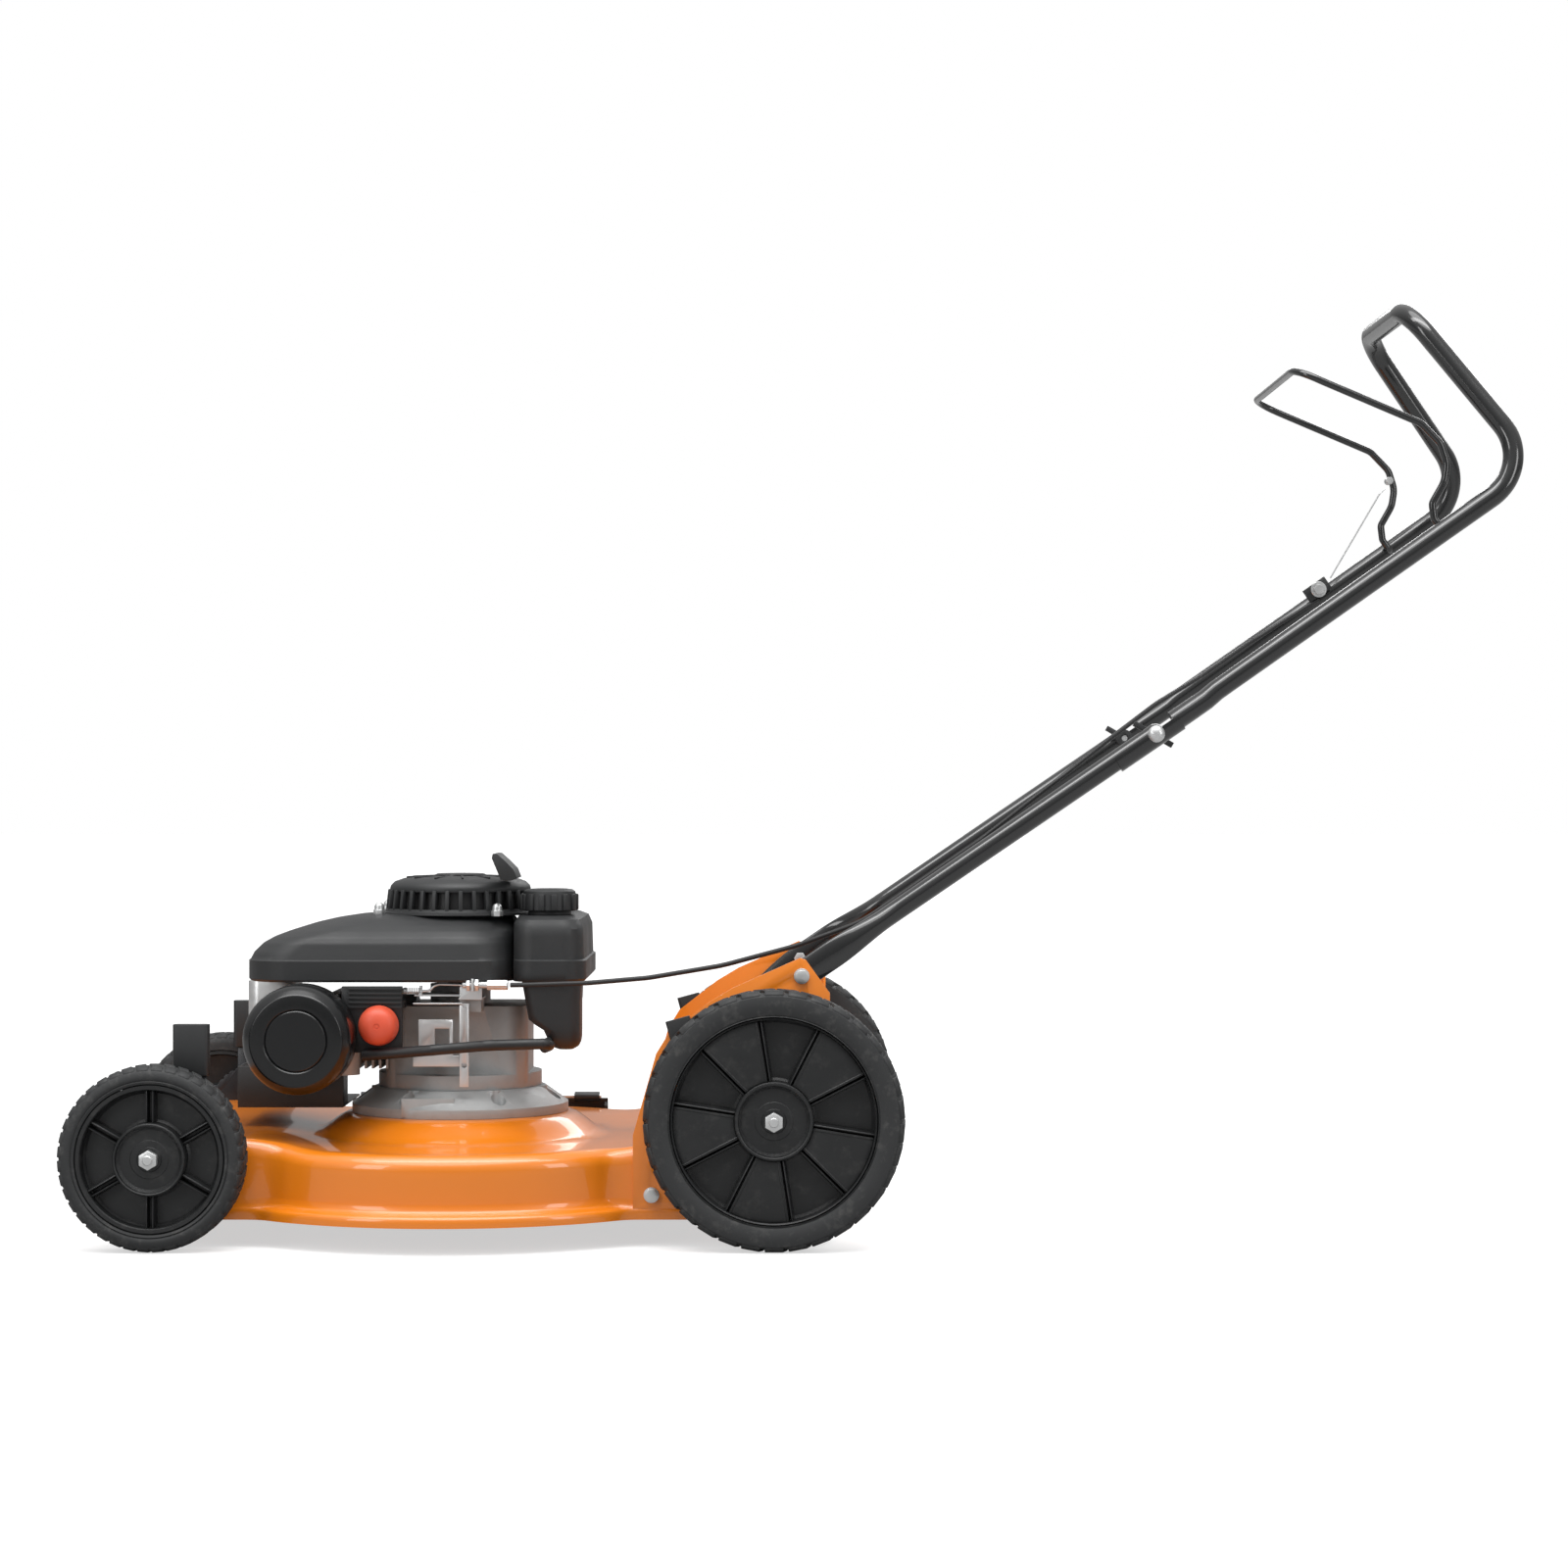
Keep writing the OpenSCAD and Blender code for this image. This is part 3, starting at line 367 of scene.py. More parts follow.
def tube(name, path, radius, material, sides=24, shape=None):
    """A tube along a path. shape(share of its length) may give a half width and a half depth."""
    path = [Vector(p) for p in path]
    total = sum((b - a).length for a, b in zip(path, path[1:]))
    verts, faces, gone = [], [], 0.0
    side = Vector((0, 1, 0))
    if abs(side.dot((path[1] - path[0]).normalized())) > 0.9:
        side = Vector((1, 0, 0))
    for i, p in enumerate(path):
        if i:
            gone += (p - path[i - 1]).length
        ahead = (path[min(i + 1, len(path) - 1)] - path[max(i - 1, 0)]).normalized()
        side = (side - ahead * side.dot(ahead)).normalized()
        other = ahead.cross(side)
        w, d = shape(gone / total) if shape else (radius, radius)
        for k in range(sides):
            a = 2 * math.pi * k / sides
            verts.append(p + side * (w * math.cos(a)) + other * (d * math.sin(a)))
    for i in range(len(path) - 1):
        for k in range(sides):
            j = (k + 1) % sides
            faces.append((i * sides + k, i * sides + j, (i + 1) * sides + j, (i + 1) * sides + k))
    faces.append(tuple(range(sides - 1, -1, -1)))
    faces.append(tuple((len(path) - 1) * sides + k for k in range(sides)))
    return make(name, verts, faces, material, 50.0)


def stacked(name, rings, material, smooth=35.0):
    """A skin through rings of equal length, one above the other, closed at both ends."""
    n = len(rings[0])
    verts = [tuple(p) for ring in rings for p in ring]
    faces = []
    for i in range(len(rings) - 1):
        for k in range(n):
            j = (k + 1) % n
            faces.append((i * n + k, i * n + j, (i + 1) * n + j, (i + 1) * n + k))
    faces.append(tuple(range(n - 1, -1, -1)))
    faces.append(tuple((len(rings) - 1) * n + k for k in range(n)))
    return make(name, verts, faces, material, smooth)


def ring_of(name, item, count, centre, axis, radius, material, first=0.0):
    """Copies of a small piece set round a circle by Geometry Nodes and made one plain mesh.

    The piece is drawn at the origin with its outward side along +X and the circle's axis along +Z."""
    tree = bpy.data.node_groups.new(name + "_ring", "GeometryNodeTree")
    for label, kind in (("Geometry", "NodeSocketGeometry"), ("Count", "NodeSocketInt"),
                        ("Radius", "NodeSocketFloat"), ("First angle", "NodeSocketFloat")):
        tree.interface.new_socket(label, in_out="INPUT", socket_type=kind)
    tree.interface.new_socket("Geometry", in_out="OUTPUT", socket_type="NodeSocketGeometry")
    start = add(tree, "NodeGroupInput")
    end = add(tree, "NodeGroupOutput")
    dots = add(tree, "GeometryNodePoints", Count=start.outputs["Count"])
    index = add(tree, "GeometryNodeInputIndex")
    share = add(tree, "ShaderNodeMath", {"operation": "DIVIDE"}, i0=index.outputs[0],
                i1=start.outputs["Count"])
    angle = add(tree, "ShaderNodeMath", {"operation": "MULTIPLY_ADD", 1: 2 * math.pi},
                i0=share.outputs[0], i2=start.outputs["First angle"])
    cosine = add(tree, "ShaderNodeMath", {"operation": "COSINE"}, i0=angle.outputs[0])
    sine = add(tree, "ShaderNodeMath", {"operation": "SINE"}, i0=angle.outputs[0])
    spot = add(tree, "ShaderNodeCombineXYZ", X=cosine.outputs[0], Y=sine.outputs[0])
    reach = add(tree, "ShaderNodeVectorMath", {"operation": "SCALE"}, i0=spot.outputs[0],
                Scale=start.outputs["Radius"])
    tree.links.new(reach.outputs[0], dots.inputs["Position"])
    turn = add(tree, "ShaderNodeCombineXYZ", Z=angle.outputs[0])
    copies = add(tree, "GeometryNodeInstanceOnPoints", Points=dots.outputs[0], Instance=start.outputs[0],
                 Rotation=turn.outputs[0])
    real = add(tree, "GeometryNodeRealizeInstances", Geometry=copies.outputs[0])
    paint = add(tree, "GeometryNodeSetMaterial", {"Material": material}, Geometry=real.outputs[0])
    tree.links.new(paint.outputs[0], end.inputs[0])
    mod = item.modifiers.new("ring", "NODES")
    mod.node_group = tree
    sockets = {s.name: s.identifier for s in tree.interface.items_tree if s.in_out == "INPUT"}
    mod[sockets["Count"]] = count
    mod[sockets["Radius"]] = radius
    mod[sockets["First angle"]] = first
    item.update_tag()
    bpy.context.view_layer.update()
    bake(item, 35.0)
    aim = {"Z": Matrix.Identity(4), "Y": Matrix.Rotation(-math.pi / 2, 4, "X"),
           "X": Matrix.Rotation(math.pi / 2, 4, "Y")}[axis]
    item.data.transform(Matrix.Translation(centre) @ aim)
    item.name = name
    return item


def block(name, size, centre, material, edge=EDGE, turn=None):
    """A small bevelled block, drawn round its centre and then turned and placed."""
    w, d, h = (s / 2 for s in size)
    verts = [(x, y, z) for x in (-w, w) for y in (-d, d) for z in (-h, h)]
    faces = [(0, 1, 3, 2), (4, 6, 7, 5), (0, 4, 5, 1), (2, 3, 7, 6), (0, 2, 6, 4), (1, 5, 7, 3)]
    piece = make(name, verts, faces, material)
    bevel(piece, edge)
    piece.data.transform(Matrix.Translation(centre) @ (turn.to_4x4() if turn else Matrix.Identity(4)))
    return piece


def attach(piece, body, *nodes):
    """Lets a piece ride on a body and stand for the CAD nodes named."""
    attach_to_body(piece, body)
    if nodes:
        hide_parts(*nodes)
    return piece


BODY_OF = {node: body for body, nodes in frame["record"]["behaviour"]["bodies"].items() for node in nodes}


# ---------------------------------------------------------------- deck
def smooth_step(x, a, b):
    """0 below a, 1 above b, and an easy rise between them."""
    t = min(1.0, max(0.0, (x - a) / (b - a)))
    return t * t * (3 - 2 * t)


def deck_reach(a, extra=0.0):
    """Distance from the crankshaft axis to the deck's wall in direction a."""
    c, s = math.cos(a), math.sin(a)
    back, front = DECK_BACK + extra * 0.4 - CRANK_X, DECK_FRONT + extra * 0.4 + CRANK_X
    flat = (FLANGE_Y + extra * 0.25) / max(abs(s), 1e-6)
    across = back / c if c > 1e-6 else front / -c if c < -1e-6 else 9.0
    # rounded corners of the straight part
    p = 14.0
    straight = (flat ** -p + across ** -p) ** (-1 / p)
    round_wall = DECK_R + extra
    # a concave sweep where the round wall leaves the straight one
    sweep = 0.012
    h = max(sweep - abs(straight - round_wall), 0.0) / sweep
    reach = max(straight, round_wall) + h * h * sweep * 0.25
    if s > 0 and abs(c / s) < 0.156 / DOOR_Y:
        reach = min(reach, (DOOR_Y + extra * 0.2) / s)
    return reach


def deck_top(x, y):
    """Height of the deck's top face."""
    r = math.hypot(x - CRANK_X, y)
    ring = 0.1045 + 0.011 * smooth_step(-x, 0.500, 0.600) + 0.007 * smooth_step(y, 0.02, 0.20)
    ring += 0.010 * smooth_step(x, -0.200, -0.120)
    cone = smooth_step(r, SEAT_R - 0.001, 0.168)
    return SEAT_Z + (ring - SEAT_Z) * cone


def deck_skin():
    """The pressed deck: rings of its top, shoulder, wall and rolled lip, turned round the crankshaft."""
    count, shoulder, inner = 384, SHOULDER_R, HOLE_R
    flat_steps, bend_steps = 34, 8
    wall = [0.080, 0.066, 0.054, 0.047]
    lip = [(0.003, 0.0435), (0.008, 0.0420), (0.0125, 0.0405), (0.0138, 0.0380), (LIP_OUT, 0.0340),
           (LIP_OUT, RIM_Z)]
    rings = [("top", k / flat_steps) for k in range(flat_steps + 1)]
    rings += [("shoulder", k / bend_steps) for k in range(1, bend_steps + 1)]
    rings += [("wall", z) for z in wall]
    rings += [("lip", q) for q in lip]
    verts, faces = [], []
    n = len(rings)
    opening = []
    for i in range(count):
        a = 2 * math.pi * i / count
        reach = deck_reach(a)
        c, s = math.cos(a), math.sin(a)
        edge = reach - shoulder
        z_edge = deck_top(CRANK_X + edge * c, edge * s)
        for kind, q in rings:
            if kind == "top":
                r = inner + (edge - inner) * q
                z = deck_top(CRANK_X + r * c, r * s)
            elif kind == "shoulder":
                r = edge + shoulder * math.sin(q * math.pi / 2)
                z = z_edge - shoulder * (1 - math.cos(q * math.pi / 2))
            elif kind == "wall":
                r, z = reach, min(q, z_edge - shoulder)
            else:
                r = reach + q[0] * (deck_reach(a, LIP_OUT) - reach) / LIP_OUT
                z = q[1]
            verts.append((CRANK_X + r * c, r * s, z))
        x = CRANK_X + reach * c
        opening.append(s > 0 and abs(x - CRANK_X) < OPENING_HALF)
    for i in range(count):
        j = (i + 1) % count
        for k in range(n - 1):
            kind = rings[k + 1][0]
            if opening[i] and opening[j] and kind in ("wall", "lip"):
                continue
            faces.append((i * n + k, j * n + k, j * n + k + 1, i * n + k + 1))
    piece = make("deck_pressing", verts, faces, ENAMEL, 60.0)
    # outward normals: the top face must look up
    bm = bmesh.new()
    bm.from_mesh(piece.data)
    bm.faces.ensure_lookup_table()
    if max(bm.faces, key=lambda f: f.calc_center_median().z).normal.z < 0:
        bmesh.ops.reverse_faces(bm, faces=bm.faces)
    bm.to_mesh(piece.data)
    bm.free()
    solid = piece.modifiers.new("sheet", "SOLIDIFY")
    solid.thickness = SHEET
    solid.offset = -1.0
    return bake(piece, 50.0)


attach(deck_skin(), "deck", "deck_shell")


# ---------------------------------------------------------------- wheels
def tyre(key, x, z, s):
    """A tyre with two rows of lugs. Its radius is the height of the wheel's axis."""
    r, w = z, TYRE_W
    front = key[0] == "f"
    outer = s * WHEEL_OUT
    # seat on the rim, groove beside it, and depth of the tread
    seat = 0.0792 if front else 0.1102
    groove = seat + (0.0045 if front else 0.0022)
    deep = 0.0022 if front else 0.0034
    profile = [(seat, 0.004), (seat + 0.001, 0.0012), (groove - 0.0012, 0.0002), (groove, 0.0014),
               (groove + 0.0014, 0.0002), (r - 0.012, 0.0), (r - 0.0072, 0.0010),
               (r - deep - 0.0014, 0.0045), (r - deep, 0.010), (r - deep, w / 2), (r - deep, w - 0.010),
               (r - deep - 0.0014, w - 0.0045), (r - 0.0072, w - 0.0010), (r - 0.012, w),
               (seat + 0.001, w), (seat, w - 0.004), (seat, 0.004)]
    body = lathe("tread_band", profile, (x, outer, z), TREAD, "Y", 160, -s, 40.0)
    # lugs: two staggered rows that wrap over the shoulders
    count = 40 if front else 34
    pitch = 2 * math.pi * r / count
    lugs = []
    for row, sign in ((0, 1), (1, -1)):
        # each lug leans with its row and falls away over the shoulder
        half = pitch * 0.385
        lean = pitch * 0.22 * sign
        near, far = (0.0022, w / 2 - 0.0012) if row == 0 else (w / 2 + 0.0012, w - 0.0022)
        shoulder = near if row == 0 else far
        inner = far if row == 0 else near
        verts = []
        for depth, span in ((shoulder, half), (shoulder + (0.006 if row == 0 else -0.006), half),
                            (inner, half * 0.9)):
            fall = 0.0038 if depth == shoulder else 0.0
            shift = lean * (0 if depth != inner else 1)
            for lift in (-0.0065, 0.0 - fall):
                for t in (-span, span):
                    verts.append((lift, t + shift, depth))
        faces = [(0, 1, 3, 2), (8, 10, 11, 9)]
        for b in (0, 4):
            faces += [(b, b + 2, b + 6, b + 4), (b + 1, b + 5, b + 7, b + 3),
                      (b + 2, b + 3, b + 7, b + 6), (b, b + 4, b + 5, b + 1)]
        lug = make("lug", verts, faces, TREAD)
        bevel(lug, 0.0007, 1)
        lug.data.transform(Matrix.Diagonal((1, 1, s, 1)) @ Matrix.Translation((0, 0, -w / 2)))
        if s < 0:
            lug.data.flip_normals()
        lugs.append(ring_of("lug_row", lug, count, (x, s * (WHEEL_OUT - w / 2), z), "Y", r - 0.0008,
                            TREAD, first=row * math.pi / count))
    piece = join("tyre_%s_tread" % key, body, *lugs)
    attach(piece, "wheel_" + key, "tyre_" + key)


def rim(key, x, z, s):
    """A moulded rim: hub, dished disc and ribbed spokes, and raised panels on a rear one."""
    front = key[0] == "f"
    ring = 0.079 if front else 0.110
    lip = 0.0735 if front else 0.1080
    hub = 0.0385 if front else 0.042
    inner = 0.035 if front else 0.0375
    spokes, first = (6, 30.0) if front else (10, 9.0)
    floor = 0.0175 if front else 0.023
    face = -0.003 if front else 0.002
    # depth is measured inwards from the tyre's outer face
    profile = [(0.0052, face + 0.004), (0.0125, face + 0.004), (0.0135, face + 0.0052),
               (0.020, face + 0.0056), (0.0208, face + 0.0062), (inner - 0.003, face + 0.0068),
               (inner, face + 0.004), (inner + 0.0008, face + 0.0006), (inner + 0.0018, face),
               (hub - 0.001, face), (hub, face + 0.0012), (hub + 0.0008, floor - 0.002),
               (hub + 0.0035, floor), (lip - 0.004, floor), (lip - 0.001, floor - 0.003), (lip, 0.0022),
               (lip + 0.001, 0.0010), (ring - 0.0008, 0.0008), (ring, 0.002), (ring, 0.044),
               (ring - 0.004, 0.0445), (lip - 0.001, 0.031), (hub + 0.002, 0.029), (hub - 0.004, 0.043),
               (0.012, 0.0455), (0.0052, 0.0455), (0.0052, face + 0.004)]
    disc = lathe("disc", profile, (x, s * WHEEL_OUT, z), RIM_PLASTIC, "Y", 160, -s, 28.0)
    # a spoke has two ridges with a groove between them
    length = lip - hub - 0.0005
    top = 0.0045 if front else 0.0065
    spoke_parts = []
    half = 0.0042 if front else 0.0036
    outline = [(-half - 0.0022, floor + 0.001), (-half, top), (-half + 0.0016, top - 0.0006),
               (-half + 0.0026, floor - 0.002), (half - 0.0026, floor - 0.002),
               (half - 0.0016, top - 0.0006), (half, top), (half + 0.0022, floor + 0.001)]
    verts = [(-length / 2, t, -d * s) for t, d in outline] + [(length / 2, t, -d * s) for t, d in outline]
    n = len(outline)
    faces = [tuple(range(n)), tuple(range(2 * n - 1, n - 1, -1))]
    faces += [(k, (k + 1) % n, n + (k + 1) % n, n + k) for k in range(n)]
    spoke = make("spoke", verts, faces, RIM_PLASTIC)
    bevel(spoke, 0.0005, 2)
    spoke_parts.append(ring_of("spokes", spoke, spokes, (x, s * WHEEL_OUT, z), "Y", (hub + lip) / 2,
                               RIM_PLASTIC, first=math.radians(first)))
    if not front:
        # every other panel between the spokes stands higher
        low, high = 0.0068, floor + 0.0008
        arc = [math.radians(-17.6 + 35.2 * k / 10) for k in range(11)]
        rim_side = [((lip - 0.0006) * math.cos(a), (lip - 0.0006) * math.sin(a)) for a in arc]
        hub_side = [((hub + 0.0006) * math.cos(a), (hub + 0.0006) * math.sin(a)) for a in reversed(arc)]
        panel = stacked("panel", [[(x1, y1, -d * s) for x1, y1 in rim_side + hub_side]
                                  for d in ((high, low) if s < 0 else (low, high))], RIM_PLASTIC)
        bevel(panel, 0.0006, 2)
        spoke_parts.append(ring_of("panels", panel, 5, (x, s * WHEEL_OUT, z), "Y", 0.0, RIM_PLASTIC,
                                   first=math.radians(-45.0)))
    piece = join("rim_%s_moulding" % key, disc, *spoke_parts)
    attach(piece, "wheel_" + key, "rim_" + key)


for key, (x, z, s) in SIDES.items():
    tyre(key, x, z, s)
    rim(key, x, z, s)


# ---------------------------------------------------------------- engine covers
def outline_ring(x0, x1, hw, corner, z, count=24):
    """A horizontal rounded rectangle at height z, with the same number of points for any size."""
    pts = []
    for cx, cy, a0 in ((x1 - corner, hw - corner, 0), (x0 + corner, hw - corner, 90),
                       (x0 + corner, -hw + corner, 180), (x1 - corner, -hw + corner, 270)):
        for k in range(count):
            a = math.radians(a0 + 90 * k / (count - 1))
            pts.append((cx + corner * math.cos(a), cy + corner * math.sin(a), z))
    return pts


def curve_at(table, t):
    """Value at t of a line given by its corners."""
    return float(np.interp(t, [p[0] for p in table], [p[1] for p in table]))


def blower_cover():
    """The engine's hood, from its skirt up: front, half width, corner radius and back at each height."""
    front = [(0.280, -0.6045), (0.2825, -0.607), (0.303, -0.607), (0.3045, -0.6050), (0.312, -0.6015),
             (0.322, -0.5915), (0.329, -0.579), (0.335, -0.563), (0.341, -0.544), (0.347, -0.518),
             (0.351, -0.492), (0.3535, -0.450)]
    half = [(0.280, 0.1228), (0.2825, 0.125), (0.303, 0.125), (0.3045, 0.1228), (0.322, 0.119),
            (0.329, 0.115), (0.335, 0.108), (0.341, 0.098), (0.347, 0.086), (0.351, 0.076),
            (0.3535, 0.064)]
    corner = [(0.280, 0.052), (0.303, 0.052), (0.3045, 0.050), (0.335, 0.056), (0.347, 0.062),
              (0.3535, 0.060)]
    back = [(0.280, -0.3122), (0.335, -0.314), (0.347, -0.318), (0.3535, -0.326)]
    levels = [0.280, 0.2808, 0.2825, 0.287, 0.295, 0.303, 0.3038, 0.3045, 0.308]
    levels += [0.312 + 0.0015 * k for k in range(28)] + [0.3535]
    rings = [outline_ring(curve_at(front, z), curve_at(back, z), curve_at(half, z), curve_at(corner, z),
                          z) for z in levels]
    cover = stacked("blower_cover", rings, MOULDED, 30.0)
    return attach(cover, "deck", "blower_shroud")


def tank_shell():
    """The tank: its top runs on from the hood, and its lower part is stepped and rounded underneath."""
    levels = [0.280, 0.2808, 0.283, 0.290, 0.303, 0.3036, 0.3045, 0.310, 0.320, 0.330, 0.338, 0.344,
              0.348, 0.3505, 0.352]
    back = [(0.280, -0.2335), (0.283, -0.231), (0.303, -0.231), (0.3045, -0.2335), (0.338, -0.2345),
            (0.348, -0.2385), (0.352, -0.248)]
    half = [(0.280, 0.1165), (0.283, 0.118), (0.303, 0.118), (0.3045, 0.1155), (0.338, 0.1135),
            (0.348, 0.108), (0.352, 0.098)]
    rings = [outline_ring(-0.3118 + max(0, z - 0.344) * 0.6, curve_at(back, z), curve_at(half, z), 0.024,
                          z) for z in levels]
    top = stacked("tank_top", rings, MOULDED, 30.0)
    levels = [0.2805, 0.268, 0.262, 0.258, 0.245, 0.238, 0.232, 0.226, 0.218, 0.212, 0.208, 0.2055,
              0.2045]
    x0 = [(0.2045, -0.262), (0.208, -0.270), (0.226, -0.278), (0.236, -0.294), (0.2805, -0.302)]
    x1 = [(0.2045, -0.246), (0.208, -0.240), (0.214, -0.2372), (0.258, -0.2372), (0.262, -0.2368),
          (0.2805, -0.2362)]
    hw = [(0.2045, 0.016), (0.208, 0.024), (0.214, 0.029), (0.226, 0.031), (0.2805, 0.032)]
    rings = []
    for v in levels:
        corner = 0.0075 if v < 0.206 else 0.013
        ring = outline_ring(curve_at(x0, v), curve_at(x1, v), curve_at(hw, v), corner, v)
        rings.append([(x, y - 0.082, z) for x, y, z in ring])
    low = stacked("tank_bottom", rings, MOULDED, 35.0)
    neck = lathe("neck", [(0.0, 0.3505), (0.0262, 0.3505), (0.0262, 0.3522), (0.024, 0.353),
                          (0.024, 0.3562), (0.0, 0.3562)], CAP, MOULDED, "Z", 96)
    spout = lathe("spout", [(0.0, 0.0), (0.004, 0.0), (0.0045, 0.003), (0.0038, 0.006), (0.0038, 0.018),
                            (0.0, 0.018)], (-0.272, -0.121, 0.215), MOULDED, "Y", 32)
    return attach(join("tank_moulding", top, low, neck, spout), "deck", "fuel_tank")


def tank_cap():
    """The fuel cap with its finger lobes."""
    skirt = lathe("cap_skirt", [(0.0, 0.3566), (0.0285, 0.3566), (0.0296, 0.358), (0.0296, 0.3745),
                                (0.0285, 0.3785), (0.0255, 0.3806), (0.021, 0.3812), (0.0195, 0.3800),
                                (0.0, 0.3798)], CAP, MOULDED, "Z", 120)
    lobe = block("lobe", (0.0042, 0.0072, 0.0185), (0, 0, 0), MOULDED, 0.0016)
    lobes = ring_of("cap_lobes", lobe, 14, (CAP[0], CAP[1], 0.3665), "Z", 0.0302, MOULDED)
    return attach(join("tank_cap_moulding", skirt, lobes), "tank_cap", "fuel_cap")


def starter_housing():
    """The recoil starter: finned cage, ribbed crown and its plain disc."""
    c = (CRANK_X, 0, 0)
    crown = [(0.0, 0.3955), (0.020, 0.3950), (0.046, 0.3935), (0.0475, 0.3925), (0.049, 0.3932),
             (0.064, 0.3915), (0.074, 0.3880), (0.0785, 0.3835), (0.0795, 0.3800), (0.0790, 0.3775),
             (0.0755, 0.3775), (0.0742, 0.3800), (0.070, 0.3835), (0.0, 0.388)]
    top = lathe("crown", crown, c, MOULDED, "Z", 144)
    foot = lathe("foot", [(0.0762, 0.3512), (0.0880, 0.3512), (0.0884, 0.3520), (0.0880, 0.3538),
                          (0.0848, 0.3548), (0.0835, 0.3580), (0.0790, 0.3580), (0.0762, 0.3545),
                          (0.0762, 0.3512)], c, MOULDED, "Z", 144)
    screen = lathe("screen", [(0.0735, 0.352), (0.0742, 0.352), (0.0725, 0.381), (0.0718, 0.381),
                              (0.0735, 0.352)], c, HOSE, "Z", 96)
    fin = block("fin", (0.0070, 0.0046, 0.0235), (0, 0, 0), MOULDED, 0.0009,
                Matrix.Rotation(math.radians(-6), 3, "Y"))
    fins = ring_of("fins", fin, 34, (CRANK_X, 0, 0.3672), "Z", 0.0795, MOULDED)
    # a plain disc in the middle of the crown, and ribs round it
    disc = lathe("disc", [(0.0, 0.3972), (0.026, 0.3968), (0.0285, 0.3958), (0.0288, 0.3945),
                          (0.0, 0.3940)], c, LID_PLASTIC, "Z", 96)
    rib = block("rib", (0.030, 0.0022, 0.0022), (0, 0, 0), MOULDED, 0.0007,
                Matrix.Rotation(math.radians(2.5), 3, "Y"))
    ribs = ring_of("crown_ribs", rib, 12, (CRANK_X, 0, 0.3934), "Z", 0.046, MOULDED, first=0.13)
    return attach(join("starter_moulding", top, foot, screen, fins, disc, ribs), "deck", "recoil_housing")


def filter_lid():
    """The round polished lid of the air filter."""
    profile = [(0.0, -0.190), (0.0318, -0.190), (0.0328, -0.1893), (0.0334, -0.1886), (0.0342, -0.1893),
               (0.0352, -0.190), (0.0485, -0.190), (0.0500, -0.1895), (0.0512, -0.1880),
               (0.0545, -0.1845), (0.0565, -0.1815), (0.0585, -0.178), (0.0593, -0.174), (0.0596, -0.160),
               (0.0596, -0.1545), (0.0590, -0.1538), (0.0590, -0.1528), (0.0596, -0.152),
               (0.0597, -0.131), (0.0588, -0.1295), (0.0565, -0.1292), (0.0560, -0.134), (0.0555, -0.172),
               (0.0, -0.184)]
    lid = lathe("air_filter_lid", profile, FILTER, LID_PLASTIC, "Y", 160, 1, 34.0)
    return attach(lid, "filter_lid", "filter_cover")


def primer():
    """The priming bulb with the small dimple in its middle."""
    dome = [(0.0, -0.1500), (0.0016, -0.1499), (0.0018, -0.1494), (0.0030, -0.1493), (0.0034, -0.1499),
            (0.0075, -0.1497), (0.0125, -0.1485), (0.0170, -0.1460), (0.0198, -0.1425), (0.0210, -0.1385),
            (0.0216, -0.1345), (0.0216, -0.1315), (0.0222, -0.1305), (0.0222, -0.1285), (0.0, -0.1285)]
    return attach(lathe("priming_bulb", dome, PRIMER, BULB, "Y", 96, 1, 40.0), "primer", "primer_bulb")


blower_cover()
tank_shell()
tank_cap()
starter_housing()
filter_lid()
primer()


# ---------------------------------------------------------------- handle
LOW_DIR = Vector((FOLD[0] - BOLT[0], 0, FOLD[1] - BOLT[1])).normalized()


def along_low(distance, y, lift=0.0):
    """A point on the lower tube's line, counted from the fold bolt, and lifted square to it."""
    return Vector((FOLD[0], y, FOLD[1])) + LOW_DIR * distance + Vector((-LOW_DIR.z, 0, LOW_DIR.x)) * lift


def lower_tube(name, body, s):
    """A lower handle tube, flattened where it is bolted to its bracket."""
    start = Vector((BOLT[0], s * BOLT_Y, BOLT[1]))
    reach = (Vector((FOLD[0], 0, FOLD[1])) - Vector((BOLT[0], 0, BOLT[1]))).length
    points = [start - LOW_DIR * TAIL, start + LOW_DIR * 0.055,
              start + LOW_DIR * 0.115 - Vector((0, s * 0.014, 0)), along_low(0, s * HANDLE_Y)]
    path = densify(rounded_path(points, [0.15, 0.15], 0.004), 0.012)

    def section(share):
        far = share * (reach + TAIL)
        t = smooth_step(far, TAIL + 0.041, TAIL + 0.111)
        end = smooth_step(far, -0.03, TAIL)
        return 0.0042 + (TUBE_R - 0.0042) * t, (0.0150 + (TUBE_R - 0.0150) * t) * (0.15 + 0.85 * end)
    main = tube("main", path, TUBE_R, TUBE_COAT, 32, section)
    ball = [(0.0, 0.0112)]
    ball += [(0.0112 * math.sin(math.pi * k / 16), 0.0112 * math.cos(math.pi * k / 16)) for k in range(1, 16)]
    ball += [(0.0, -0.0112)]
    tip = lathe("tip", ball, along_low(0, s * HANDLE_Y), TUBE_COAT, "Y", 48)
    return attach(join(name, main, tip), body, name.replace("_tube", ""))


def bent_loop():
    """The upper handle's middle line past its fold channels."""
    points = [(0.455, -HANDLE_Y, 0.599), (BEND[0], -HANDLE_Y, BEND[1]), (BAR[0], -BAR_Y, BAR[1]),
              (BAR[0], BAR_Y, BAR[1]), (BEND[0], HANDLE_Y, BEND[1]), (0.455, HANDLE_Y, 0.599)]
    return rounded_path(points, [0.058, 0.050, 0.050, 0.058], 0.003)


